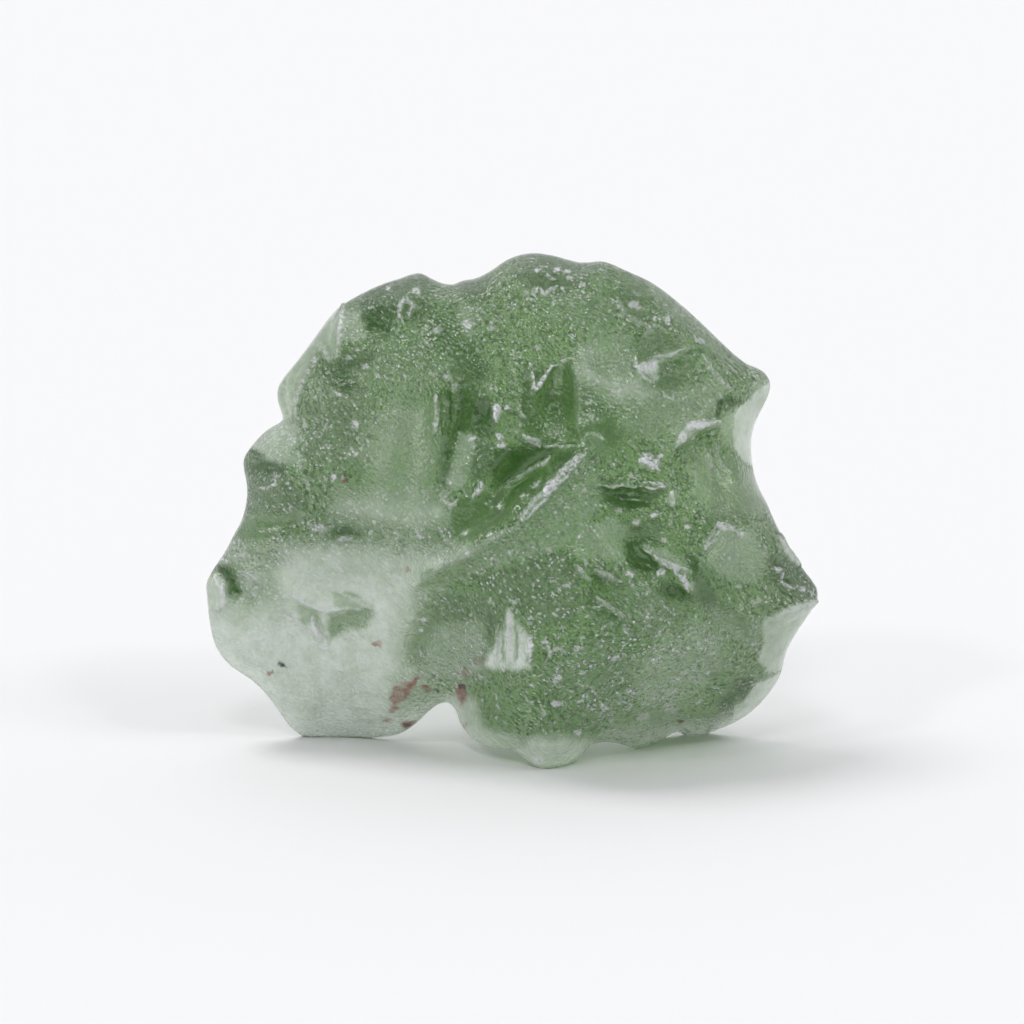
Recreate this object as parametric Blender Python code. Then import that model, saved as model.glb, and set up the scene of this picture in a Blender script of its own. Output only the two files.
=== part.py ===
# Moldavite: one piece of natural green glass, etched into lobes, hollows and ridges.
# The stone stands on three small flat spots and leans back a little.
import math

import bmesh
import bpy
import numpy as np
from mathutils import Vector
from mathutils.geometry import delaunay_2d_cdt

MM = 0.001

# The stone is described face on, in millimetres: u to the right, v up, w towards the viewer.
# That frame is then leaned back and stood on the ground.
LEAN_DEG = 15.0
GROUND_DROP = -0.28
DEPTH_CENTRE = 4.43

# Driving sizes, in millimetres
WIDTH = 30.1
HEIGHT = 25.4
RIM_STEP = 0.55
RIM_RADIUS = 1.35
RIM_RING_SHARES = (0.08, 0.29, 0.62, 1.0)
RIM_RING_GAPS = (0.30, 0.36, 0.42, 0.48)
DOME_REACH = 6.0
FRONT_GRID = 0.53
BACK_GRID = 0.70
LEVEL_REACH = 3.2

# The outline runs clockwise from the left tip. Each stretch is a smooth curve,
# and the stretches meet in the sharp notches and corners of the silhouette.
OUTLINE_STRETCHES = (
    ((-15.05, 9.15), (-14.70, 9.85), (-14.10, 10.70), (-13.70, 11.50), (-13.25, 12.30),
     (-13.02, 13.30), (-13.02, 14.10), (-13.20, 14.85), (-13.12, 15.45), (-12.10, 16.65),
     (-11.15, 17.15)),
    ((-11.15, 17.15), (-11.38, 17.70), (-11.55, 18.40), (-11.35, 19.05), (-10.35, 20.30),
     (-8.90, 22.25), (-8.10, 22.95), (-6.45, 23.80), (-5.20, 24.18), (-4.80, 24.40),
     (-4.30, 24.35), (-3.70, 23.95), (-2.90, 23.75)),
    ((-2.90, 23.75), (-2.55, 24.00), (-1.90, 24.05), (-1.05, 24.45), (-0.20, 25.05),
     (0.90, 25.35), (2.10, 25.20), (3.40, 24.85), (4.45, 24.95), (5.65, 24.45),
     (7.00, 23.80), (8.70, 22.45), (10.65, 20.60), (11.50, 19.90)),
    ((11.50, 19.90), (12.00, 19.75), (12.50, 19.40), (12.70, 18.90), (12.50, 18.20),
     (11.85, 16.85), (11.72, 15.70), (11.95, 14.20), (12.50, 13.10), (13.05, 11.85),
     (14.05, 10.20), (14.85, 9.15), (15.05, 8.60), (14.80, 8.00), (14.05, 6.85),
     (13.45, 5.75), (13.35, 5.00), (12.95, 4.10), (12.00, 2.95), (11.10, 2.30),
     (9.90, 1.80), (8.80, 1.50), (8.15, 1.85)),
    ((8.15, 1.85), (7.00, 1.20), (6.15, 1.00), (5.20, 1.30), (4.45, 1.35), (3.85, 1.28)),
    ((3.85, 1.28), (3.45, 0.70), (2.75, 0.25), (1.75, -0.05), (0.90, 0.25), (0.10, 0.95),
     (-1.05, 1.05), (-1.95, 1.50), (-2.60, 2.30), (-2.85, 3.15), (-3.15, 3.35)),
    ((-3.15, 3.35), (-3.80, 3.10), (-4.80, 2.15), (-5.85, 1.60), (-7.90, 1.50),
     (-10.20, 1.55), (-11.00, 2.10), (-11.90, 3.40), (-12.80, 4.35), (-13.85, 5.05),
     (-14.55, 5.95), (-14.85, 7.10), (-15.05, 9.15)),
)

# Levels are (u, v, value) and blend smoothly into each other.
# Depth of the rim line: the bottom lobes curl back to the two rear feet.
RIM_LEVELS = (
    (-15.0, 9.2, -3.2), (-13.0, 14.0, -2.6), (-11.4, 18.4, -2.0), (-7.0, 23.5, -1.2),
    (0.5, 25.0, -0.6), (6.0, 24.0, -0.8), (12.5, 19.0, -1.4), (12.0, 15.5, -1.6),
    (15.0, 8.6, -2.0), (12.8, 4.2, -5.2), (8.9, 1.6, -8.3), (4.2, 1.5, -3.6),
    (1.8, 0.2, -1.3), (-2.9, 3.3, -3.6), (-5.5, 2.0, -6.4), (-8.8, 1.6, -7.8),
    (-12.5, 4.0, -5.6), (0.0, 12.0, 0.0), (6.0, 12.0, 0.0), (-6.0, 12.0, -1.0),
    (0.0, 18.0, 0.0),
)
# Half thickness right behind the rounded rim
RIM_THICKNESS = (
    (-14.5, 8.0, 1.3), (-10.0, 2.5, 1.0), (-6.0, 2.5, 1.0), (-2.9, 3.3, 1.0),
    (1.8, 0.6, 1.1), (6.0, 1.6, 1.1), (10.5, 2.6, 1.2), (13.5, 5.5, 1.2),
    (14.6, 8.8, 1.4), (12.2, 13.0, 2.2), (11.8, 16.5, 2.4), (12.3, 19.2, 1.4),
    (8.0, 22.6, 2.4), (1.0, 25.0, 3.0), (-5.0, 24.0, 2.7), (-9.0, 21.8, 2.6),
    (-11.4, 18.4, 1.6), (-12.5, 15.5, 1.7), (-13.0, 12.5, 1.8),
)
# Height of the front face
FRONT_LEVELS = (
    (-13.3, 8.6, -1.6), (-11.5, 6.0, -3.2), (-9.0, 6.8, -2.9), (-8.5, 3.5, -4.8),
    (-5.8, 5.0, -2.8), (-5.2, 8.2, -1.2), (-9.5, 9.6, -1.6), (-12.0, 10.8, -0.6),
    (-8.5, 11.6, 0.4), (-5.0, 10.8, 1.0), (-3.4, 7.0, 0.8), (-2.6, 5.0, 0.6),
    (-11.0, 13.4, 0.2), (-11.4, 15.8, 0.6), (-9.0, 15.0, 1.2), (-9.5, 18.8, 1.4),
    (-7.6, 20.8, 2.3), (-6.5, 22.6, 2.1), (-6.9, 16.6, 2.4), (-5.0, 18.6, 2.6),
    (-5.0, 14.6, 2.0), (-5.6, 12.6, 1.2), (-3.2, 17.4, 3.4), (-2.4, 14.0, 2.8),
    (-3.4, 21.2, 3.0), (-0.6, 20.6, 4.0), (1.2, 22.8, 3.4), (2.4, 24.2, 2.2),
    (0.6, 17.6, 4.2), (2.4, 17.8, 4.2), (0.2, 14.6, 3.2), (-1.0, 12.8, 3.4),
    (3.4, 15.4, 5.0), (1.6, 12.8, 5.2), (0.2, 10.4, 4.8), (-1.4, 8.4, 3.6),
    (4.8, 20.6, 4.0), (7.6, 20.2, 3.0), (6.4, 22.6, 2.6), (5.8, 17.2, 4.4),
    (9.4, 19.0, 2.0), (8.6, 16.4, 3.0), (10.6, 17.0, 1.6), (6.2, 14.4, 4.2),
    (9.2, 13.6, 2.8), (11.0, 12.4, 2.0), (4.6, 11.6, 5.2), (7.6, 10.6, 3.6),
    (10.4, 10.4, 2.6), (13.0, 9.0, 0.8), (3.0, 8.0, 5.4), (2.4, 5.2, 4.8),
    (1.6, 2.4, 3.0), (5.6, 6.2, 4.2), (7.8, 4.6, 2.4), (9.6, 7.4, 2.8),
    (12.0, 6.2, -0.2), (9.8, 3.4, -1.6), (5.8, 2.6, 0.2), (-1.2, 2.8, 0.8),
    (0.2, 5.0, 3.8),
)
# Height of the back face
BACK_LEVELS = (
    (-13.3, 8.4, -4.9), (-11.0, 5.5, -5.9), (-8.5, 3.6, -7.7), (-6.0, 5.0, -5.6),
    (-9.5, 9.0, -4.8), (-11.5, 12.5, -5.0), (-11.2, 15.8, -4.6), (-9.0, 19.0, -5.6),
    (-6.5, 22.2, -5.2), (-7.0, 15.0, -6.2), (-6.0, 11.0, -5.4), (-3.0, 6.0, -5.0),
    (-2.5, 20.5, -6.2), (1.0, 23.6, -5.0), (0.5, 17.0, -6.4), (-1.5, 12.0, -6.2),
    (0.6, 7.0, -5.6), (1.8, 2.2, -2.8), (5.0, 21.0, -4.6), (9.0, 20.0, -4.2),
    (5.5, 14.0, -6.4), (4.8, 7.0, -6.2), (5.6, 3.0, -5.2), (9.0, 3.6, -8.2),
    (9.6, 8.6, -6.2), (11.0, 14.4, -4.8), (13.2, 8.8, -4.4), (12.4, 5.6, -5.6),
)

# Hollows are (u, v, half length, half width, turn in degrees, depth): dishes with a crisp rim.
FRONT_HOLLOWS = (
    (4.90, 20.30, 1.75, 1.60, 0, 0.75), (7.60, 19.95, 1.90, 1.55, -20, 1.15),
    (6.35, 22.40, 1.35, 0.80, -25, 0.70), (9.20, 20.60, 1.20, 0.80, -45, 0.50),
    (2.25, 17.90, 2.40, 1.35, 84, 1.10), (0.60, 14.60, 2.50, 1.20, 42, 1.30),
    (-4.60, 15.10, 3.60, 1.35, 86, 1.00), (-2.60, 17.60, 2.60, 0.80, 88, 0.75),
    (-6.70, 22.00, 1.40, 1.15, 30, 0.85), (-8.30, 19.60, 1.70, 0.85, -20, 0.60),
    (-12.25, 14.60, 1.00, 0.65, -10, 0.80), (-10.60, 12.30, 2.40, 0.85, 8, 0.65),
    (-8.00, 11.70, 1.10, 0.65, -5, 0.70), (-13.75, 9.20, 1.15, 0.60, 115, 0.80),
    (-8.00, 7.45, 1.70, 0.85, 5, 0.50), (-10.60, 7.20, 1.60, 0.80, -30, 0.40),
    (-4.70, 6.30, 1.90, 0.75, 60, 0.60), (5.40, 13.50, 1.70, 0.80, -12, 0.80),
    (6.30, 10.90, 2.40, 0.95, -38, 1.10), (4.60, 8.60, 1.80, 0.80, -40, 0.80),
    (8.00, 8.70, 1.00, 0.70, -20, 0.80), (9.60, 15.00, 1.70, 0.95, -60, 0.85),
    (8.40, 14.60, 0.90, 0.65, -60, 0.55), (13.30, 9.10, 1.30, 0.85, -30, 0.90),
    (10.90, 9.80, 2.10, 1.45, -40, 0.60), (10.80, 6.90, 2.30, 0.85, -45, 0.70),
    (1.75, 5.80, 1.00, 0.65, 80, 0.60), (-0.20, 6.10, 1.70, 1.25, 80, 0.60),
    (1.60, 3.60, 2.20, 1.00, -15, 0.40), (5.40, 4.60, 1.60, 0.80, 60, 0.45),
    (2.20, 23.80, 1.20, 0.75, -10, 0.75), (-0.40, 23.00, 1.60, 0.95, 75, 0.50),
    (-4.80, 22.40, 1.00, 0.65, 70, 0.55), (9.40, 4.60, 1.80, 1.10, 20, 0.45),
    (-10.20, 17.30, 1.60, 0.80, -30, 0.40), (12.30, 6.00, 1.30, 0.80, 60, 0.40),
)
BACK_HOLLOWS = (
    (-3.50, 17.50, 3.60, 2.30, 70, 1.30), (2.40, 18.60, 2.80, 2.20, -30, 1.25),
    (7.20, 18.20, 2.60, 1.90, -60, 1.05), (-8.20, 17.80, 2.60, 1.90, 40, 1.00),
    (-9.80, 12.40, 2.60, 1.70, 10, 0.90), (-4.60, 11.60, 2.60, 1.90, -30, 1.05),
    (0.80, 12.80, 2.90, 1.90, 50, 1.25), (6.00, 12.60, 2.90, 2.00, -20, 1.10),
    (10.60, 11.60, 2.30, 1.70, -50, 0.85), (3.60, 8.20, 2.60, 1.60, 20, 0.90),
    (-1.20, 7.60, 2.20, 1.70, -60, 0.85), (8.60, 7.00, 2.40, 1.50, 60, 0.80),
    (-8.60, 6.80, 2.40, 1.50, 30, 0.40), (-12.40, 8.80, 1.80, 1.20, 80, 0.40),
    (-2.40, 22.20, 1.90, 1.20, 10, 0.65), (3.40, 23.00, 1.90, 1.10, -10, 0.60),
    (12.60, 8.00, 1.50, 1.10, 30, 0.45), (-5.00, 4.60, 1.50, 0.90, 20, 0.35),
)
# Small etched cups are scattered over both faces: seed, count, radii and depth as a share of radius.
FRONT_CUPS = (11, 120, 0.7, 1.5, 0.16)
BACK_CUPS = (23, 150, 0.9, 2.1, 0.24)
# Ridges are (points along the crest, half width, height).
FRONT_RIDGES = (
    (((3.70, 15.55), (2.60, 14.60), (1.20, 13.10), (0.15, 11.90), (-2.20, 10.80),
      (-4.60, 9.40)), 0.95, 1.00),
    (((3.10, 20.00), (3.35, 18.00), (3.40, 15.90)), 0.65, 0.45),
    (((-3.62, 18.50), (-3.58, 17.20), (-3.80, 16.40)), 0.60, 0.55),
    (((8.00, 15.80), (8.60, 16.70), (10.20, 17.10)), 0.70, 0.70),
    (((6.40, 10.95), (7.60, 10.10), (8.50, 8.90)), 0.75, 0.85),
    (((9.10, 10.60), (9.60, 11.50), (10.40, 12.15), (11.20, 11.90)), 0.70, 0.65),
    (((9.00, 10.20), (10.00, 8.60), (11.60, 7.40)), 0.75, 0.55),
    (((-10.80, 8.80), (-9.10, 8.00), (-7.20, 8.20)), 0.60, 0.35),
    (((3.00, 10.20), (3.90, 9.30)), 0.65, 0.55),
    (((1.30, 6.50), (1.85, 6.10), (1.60, 5.30)), 0.60, 0.50),
)
BACK_RIDGES = (
    (((-7.00, 21.50), (-5.80, 17.00), (-6.40, 13.40), (-7.40, 9.60)), 1.00, 0.70),
    (((-0.60, 23.40), (-0.40, 19.00), (-1.60, 15.00), (-1.80, 10.00)), 1.00, 0.80),
    (((4.80, 22.00), (4.70, 18.00), (3.60, 15.00), (3.40, 10.60)), 1.00, 0.70),
    (((9.60, 17.60), (8.60, 14.20), (7.60, 9.40)), 1.00, 0.60),
)
# Facets are (u, v) of a point on the top edge, direction of fall in degrees, edge height and slope.
FRONT_FACETS = (
    (-8.60, 21.60, 152, 0.9, 1.7),
    (-10.70, 18.20, 170, -0.2, 1.9),
    (11.00, 16.60, 6, 0.9, 1.8),
    (13.20, 7.60, -36, -0.2, 1.5),
    (11.60, 4.00, -50, -1.6, 1.6),
)


def smooth_stretch(points, step):
    """Points about one step apart along a smooth curve through the given points."""
    pts = [np.array(p, dtype=float) for p in points]
    pts = [2 * pts[0] - pts[1]] + pts + [2 * pts[-1] - pts[-2]]
    dense = []
    for a, b, c, d in zip(pts, pts[1:], pts[2:], pts[3:]):
        for t in np.linspace(0, 1, 12, endpoint=False):
            dense.append(0.5 * (2 * b + (c - a) * t + (2 * a - 5 * b + 4 * c - d) * t**2
                                + (3 * b - a - 3 * c + d) * t**3))
    dense.append(pts[-2])
    dense = np.array(dense)
    run = np.concatenate([[0], np.cumsum(np.linalg.norm(np.diff(dense, axis=0), axis=1))])
    count = max(2, round(run[-1] / step))
    at = np.linspace(0, run[-1], count + 1)[:-1]
    return np.stack([np.interp(at, run, dense[:, k]) for k in (0, 1)], axis=1)


def segment_distance(points, start, end):
    """Distance from each point to the nearest of the segments."""
    way = end - start
    to = points[:, None, :] - start[None, :, :]
    share = np.clip((to * way).sum(2) / (way * way).sum(1), 0, 1)
    away = np.linalg.norm(to - share[:, :, None] * way, axis=2)
    return away.min(axis=1)


def levels_at(levels, points):
    """Smooth blend of hand-set levels at each point."""
    table = np.array(levels)
    square = ((points[:, None, :] - table[None, :, :2]) ** 2).sum(2) / LEVEL_REACH**2
    weight = np.exp(-square + square.min(axis=1, keepdims=True))
    return (weight * table[:, 2]).sum(1) / weight.sum(1)


def hollow_depth(hollows, points):
    """Depth of the deepest dish over each point."""
    depth = np.zeros(len(points))
    for u, v, half_length, half_width, turn, deep in hollows:
        cos, sin = math.cos(math.radians(turn)), math.sin(math.radians(turn))
        along = (points[:, 0] - u) * cos + (points[:, 1] - v) * sin
        across = (points[:, 1] - v) * cos - (points[:, 0] - u) * sin
        share = (along / half_length) ** 2 + (across / half_width) ** 2
        depth = np.maximum(depth, deep * (1 - share))
    return depth


def etched_cups(seed, count, least, most, share):
    """Round and oval cups scattered over the whole stone, as hollows."""
    draw = np.random.default_rng(seed)
    cups = []
    for _ in range(count):
        radius = draw.uniform(least, most)
        cups.append((draw.uniform(-WIDTH / 2, WIDTH / 2), draw.uniform(0, HEIGHT),
                     radius * draw.uniform(1.0, 1.5), radius, draw.uniform(0, 180),
                     radius * share))
    return tuple(cups)


def ridge_height(ridges, points):
    """Height of the tallest crest over each point."""
    height = np.zeros(len(points))
    for crest, half_width, tall in ridges:
        crest = np.array(crest)
        away = segment_distance(points, crest[:-1], crest[1:])
        height = np.maximum(height, tall * np.clip(1 - away / half_width, 0, 1))
    return height


def edge_profile(away, thin, full):
    """Half thickness at a distance from the outline: a rounded rim, then a gentle dome."""
    rim = np.sqrt(1 - (1 - np.clip(away / RIM_RADIUS, 0, 1)) ** 2)
    dome = 1 - (1 - np.clip(away / DOME_REACH, 0, 1)) ** 2
    return thin * rim + (full - thin) * dome


def front_face(points, away):
    rim = levels_at(RIM_LEVELS, points)
    full = levels_at(FRONT_LEVELS, points) - rim
    thin = np.minimum(levels_at(RIM_THICKNESS, points), full)
    w = rim + edge_profile(away, thin, full)
    fade = np.clip(away / RIM_RADIUS, 0, 1)
    hollows = FRONT_HOLLOWS + etched_cups(*FRONT_CUPS)
    w = w + fade * (ridge_height(FRONT_RIDGES, points) - hollow_depth(hollows, points))
    for u, v, fall, edge, slope in FRONT_FACETS:
        cos, sin = math.cos(math.radians(fall)), math.sin(math.radians(fall))
        past = (points[:, 0] - u) * cos + (points[:, 1] - v) * sin
        beside = (points[:, 1] - v) * cos - (points[:, 0] - u) * sin
        cut = edge - slope * past + 0.25 * beside**2
        w = np.minimum(w, np.maximum(cut, rim + 0.25 * fade))
    return w


def back_face(points, away):
    rim = levels_at(RIM_LEVELS, points)
    full = rim - levels_at(BACK_LEVELS, points)
    thin = np.minimum(levels_at(RIM_THICKNESS, points), full)
    fade = np.clip(away / RIM_RADIUS, 0, 1)
    hollows = BACK_HOLLOWS + etched_cups(*BACK_CUPS)
    relief = ridge_height(BACK_RIDGES, points) - hollow_depth(hollows, points)
    return rim - edge_profile(away, thin, full) - fade * relief


def crest_points(ridges, step):
    """Points along the crests, so that each crest is a clean line of edges."""
    rows = []
    for crest, _, _ in ridges:
        for a, b in zip(np.array(crest)[:-1], np.array(crest)[1:]):
            count = max(1, round(np.linalg.norm(b - a) / step))
            rows.append(a + (b - a) * np.linspace(0, 1, count + 1)[:, None])
    return np.concatenate(rows)


def inner_points(rim, grid, ridges):
    """Points on the crests, rings that follow the outline, then an even grid inside them."""
    start, end = rim, np.roll(rim, -1, axis=0)
    along = np.roll(rim, -1, axis=0) - np.roll(rim, 1, axis=0)
    inward = np.stack([along[:, 1], -along[:, 0]], axis=1)
    inward /= np.linalg.norm(inward, axis=1)[:, None]
    crests = crest_points(ridges, grid)
    rows = [crests[segment_distance(crests, start, end) > RIM_RADIUS]]
    for share in RIM_RING_SHARES:
        ring = rim + inward * share * RIM_RADIUS
        away = segment_distance(ring, start, end)
        rows.append(ring[away > 0.93 * share * RIM_RADIUS])
    across = np.arange(-WIDTH / 2, WIDTH / 2, grid)
    up = np.arange(0, HEIGHT, grid * math.sqrt(3) / 2)
    net = np.array([(u + grid / 2 * (k % 2), v) for k, v in enumerate(up) for u in across])
    away = segment_distance(net, start, end)
    turn = (end[None, :, 0] - start[None, :, 0]) * (net[:, None, 1] - start[None, :, 1])
    turn = turn - (end[None, :, 1] - start[None, :, 1]) * (net[:, None, 0] - start[None, :, 0])
    above = start[None, :, 1] <= net[:, None, 1]
    crosses = above != (end[None, :, 1] <= net[:, None, 1])
    wind = np.where(crosses & above & (turn > 0), 1, 0) - np.where(crosses & ~above & (turn < 0), 1, 0)
    rows.append(net[(wind.sum(1) != 0) & (away > RIM_RADIUS + 0.5 * grid)])
    kept = [np.empty((0, 2))]
    for row, gap in zip(rows, (0.6 * grid, *RIM_RING_GAPS, 0.55 * grid)):
        for point in row:
            near = np.concatenate(kept)
            if len(near) == 0 or np.linalg.norm(near - point, axis=1).min() > gap:
                kept.append(point[None])
    return np.concatenate(kept)


def face_triangles(rim, inner):
    """Triangles that fill the outline, with the rim points first."""
    points = [Vector(p) for p in np.concatenate([rim, inner])]
    edges = [(k, (k + 1) % len(rim)) for k in range(len(rim))]
    verts, _, faces, origins, _, _ = delaunay_2d_cdt(points, edges, [], 1, 1e-5)
    first = [sources[0] for sources in origins]
    return [tuple(first[k] for k in face) for face in faces]


def in_stone_frame(uvw):
    """Leans the face-on frame back and stands it on the ground, in metres."""
    lean = math.radians(LEAN_DEG)
    u, v, w = uvw.T
    y = v * math.sin(lean) - w * math.cos(lean) - DEPTH_CENTRE
    z = v * math.cos(lean) + w * math.sin(lean) - GROUND_DROP
    return np.stack([u, y, z], axis=1) * MM


def stone_mesh():
    rim = np.concatenate([smooth_stretch(stretch, RIM_STEP) for stretch in OUTLINE_STRETCHES])
    start, end = rim, np.roll(rim, -1, axis=0)
    mesh = bmesh.new()
    rim_w = levels_at(RIM_LEVELS, rim)
    rim_verts = [mesh.verts.new(p) for p in in_stone_frame(np.column_stack([rim, rim_w]))]
    sides = ((FRONT_GRID, FRONT_RIDGES, front_face), (BACK_GRID, BACK_RIDGES, back_face))
    for grid, ridges, face in sides:
        inner = inner_points(rim, grid, ridges)
        height = face(inner, segment_distance(inner, start, end))
        placed = in_stone_frame(np.column_stack([inner, height]))
        verts = rim_verts + [mesh.verts.new(p) for p in placed]
        for corners in face_triangles(rim, inner):
            loop = [verts[k] for k in corners]
            mesh.faces.new(loop if face is front_face else loop[::-1])
    return mesh


def stand_flat(mesh):
    """Cuts the three feet off level, so that the stone rests on small flat spots."""
    everything = mesh.verts[:] + mesh.edges[:] + mesh.faces[:]
    cut = bmesh.ops.bisect_plane(mesh, geom=everything, dist=1e-7, plane_co=(0, 0, 0),
                                 plane_no=(0, 0, -1), clear_outer=True)
    rims = [e for e in cut["geom_cut"] if isinstance(e, bmesh.types.BMEdge)]
    bmesh.ops.holes_fill(mesh, edges=rims)
    bmesh.ops.triangulate(mesh, faces=mesh.faces[:])


def green_glass():
    """Bottle-green glass with a fine etched skin."""
    material = bpy.data.materials.new("green_glass")
    material.use_nodes = True
    shader = material.node_tree.nodes["Principled BSDF"]
    shader.inputs["Base Color"].default_value = (0.16, 0.30, 0.15, 1)
    shader.inputs["Roughness"].default_value = 0.3
    shader.inputs["Metallic"].default_value = 0.0
    shader.inputs["IOR"].default_value = 1.49
    shader.inputs["Transmission Weight"].default_value = 0.8
    return material


for old in list(bpy.data.objects):
    bpy.data.objects.remove(old, do_unlink=True)

shape = stone_mesh()
stand_flat(shape)
data = bpy.data.meshes.new("moldavite")
shape.to_mesh(data)
shape.free()
data.materials.append(green_glass())
stone = bpy.data.objects.new("moldavite", data)
bpy.context.scene.collection.objects.link(stone)
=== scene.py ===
import math

import bpy
import numpy as np
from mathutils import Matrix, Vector, noise


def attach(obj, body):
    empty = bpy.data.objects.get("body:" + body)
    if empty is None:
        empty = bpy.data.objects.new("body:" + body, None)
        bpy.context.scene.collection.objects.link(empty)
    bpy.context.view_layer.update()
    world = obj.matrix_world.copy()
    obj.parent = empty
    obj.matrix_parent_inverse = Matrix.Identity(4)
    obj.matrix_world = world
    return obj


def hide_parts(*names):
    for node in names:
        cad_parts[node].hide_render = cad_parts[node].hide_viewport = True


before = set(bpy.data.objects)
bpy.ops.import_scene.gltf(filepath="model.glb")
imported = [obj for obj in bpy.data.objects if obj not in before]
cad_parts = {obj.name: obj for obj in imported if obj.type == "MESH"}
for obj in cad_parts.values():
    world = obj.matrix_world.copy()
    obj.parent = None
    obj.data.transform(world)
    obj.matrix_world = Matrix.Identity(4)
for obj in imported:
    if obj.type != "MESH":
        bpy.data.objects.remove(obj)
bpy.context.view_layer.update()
bpy.ops.object.select_all(action="DESELECT")

# Camera: a long lens that looks square at the etched face, fifteen degrees down,
# with the stone in the middle of a square picture.
MM = 0.001
LOOK_DOWN_DEG = 15
CAMERA_DISTANCE = 600 * MM
PICTURE_WIDTH = 49.95 * MM
AIM = Vector((0, -1.15, 12.51)) * MM
SENSOR_WIDTH = 36
NEAREST_SEEN = 10 * MM

look_down = math.radians(LOOK_DOWN_DEG)
to_camera = Vector((0, -math.cos(look_down), math.sin(look_down)))
bpy.ops.object.camera_add(location=AIM + to_camera * CAMERA_DISTANCE,
                          rotation=(math.pi / 2 - look_down, 0, 0))
camera = bpy.context.object
camera.data.sensor_width = SENSOR_WIDTH
camera.data.lens = SENSOR_WIDTH * CAMERA_DISTANCE / PICTURE_WIDTH
camera.data.clip_start = NEAREST_SEEN
bpy.context.scene.camera = camera

# Floor: one wide sheet of matt white card, so that nothing but card is behind the stone.
FLOOR_SIZE = 8.0
FLOOR_WHITE = (0.90, 0.90, 0.90, 1)

bpy.ops.mesh.primitive_plane_add(size=FLOOR_SIZE, location=(0, 0, 0))
floor = bpy.context.object
floor.name = "floor_card"
card = bpy.data.materials.new("matt_white_card")
card.use_nodes = True
card_shader = card.node_tree.nodes["Principled BSDF"]
card_shader.inputs["Base Color"].default_value = FLOOR_WHITE
card_shader.inputs["Roughness"].default_value = 1.0
card_shader.inputs["Specular IOR Level"].default_value = 0.0
floor.data.materials.append(card)

# Studio light: wide soft lamps overhead, as disks of light far away, and a dim room that
# is darker on the camera's side. The direction is the way the light travels.
LAMPS = (
    ("key_lamp", (0.42, -0.12, -0.90), 24, 0.98, (1.0, 1.0, 1.0)),
    ("right_lamp", (-0.62, 0.30, -0.72), 18, 0.27, (0.97, 0.96, 1.0)),
    ("front_lamp", (0.10, 0.62, -0.78), 12, 0.42, (0.97, 0.96, 1.0)),
    ("front_left_lamp", (0.50, 0.52, -0.70), 6, 0.24, (0.96, 0.95, 1.0)),
    ("front_right_lamp", (-0.48, 0.46, -0.74), 6, 0.20, (0.96, 0.95, 1.0)),
    ("back_lamp", (0.05, -0.60, -0.80), 30, 0.10, (1.0, 1.0, 1.0)),
)
ROOM_COLOUR = (0.97, 0.98, 1.0, 1)
ROOM_DIM = 0.15
ROOM_BRIGHT = 0.70
DIM_FROM, BRIGHT_FROM = -0.75, 0.25

for name, travel, disk_deg, strength, colour in LAMPS:
    bpy.ops.object.light_add(type="SUN", location=(0, 0, 1))
    lamp = bpy.context.object
    lamp.name = name
    lamp.rotation_euler = Vector(travel).to_track_quat("-Z", "Y").to_euler()
    lamp.data.angle = math.radians(disk_deg)
    lamp.data.energy = strength
    lamp.data.color = colour
room = bpy.data.worlds.new("studio_room")
bpy.context.scene.world = room
room.use_nodes = True
room_nodes, room_links = room.node_tree.nodes, room.node_tree.links
direction = room_nodes.new("ShaderNodeTexCoord")
split = room_nodes.new("ShaderNodeSeparateXYZ")
shade = room_nodes.new("ShaderNodeMapRange")
shade.inputs["From Min"].default_value = DIM_FROM
shade.inputs["From Max"].default_value = BRIGHT_FROM
shade.inputs["To Min"].default_value = ROOM_DIM
shade.inputs["To Max"].default_value = ROOM_BRIGHT
room_links.new(direction.outputs["Generated"], split.inputs["Vector"])
room_links.new(split.outputs["Y"], shade.inputs["Value"])
room_nodes["Background"].inputs["Color"].default_value = ROOM_COLOUR
room_links.new(shade.outputs["Result"], room_nodes["Background"].inputs["Strength"])
bpy.context.scene.view_settings.view_transform = "Standard"

# The stone: one lump of natural glass, etched by ground acids over millions of years. A smoothed
# copy of its plain body is cut finely on the face that shows, and crests, grooves, hollows, cups
# and wrinkles are pressed into its skin.

# Marks are in millimetres on the leaning face: u to the right, v up, w towards the viewer.
LEAN = math.radians(15)
FACE_ORIGIN = (0, -4.43, 0.28)
TRIANGLES = 195000
FAR_SIDE_TRIANGLES = 40000
FAR_BELOW = 0.02
MERGE_DISTANCE = 1e-7
FEET_BELOW = 0.001 * MM
SHOWN_ABOVE = -0.05
toward_viewer = np.array(to_camera)

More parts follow.
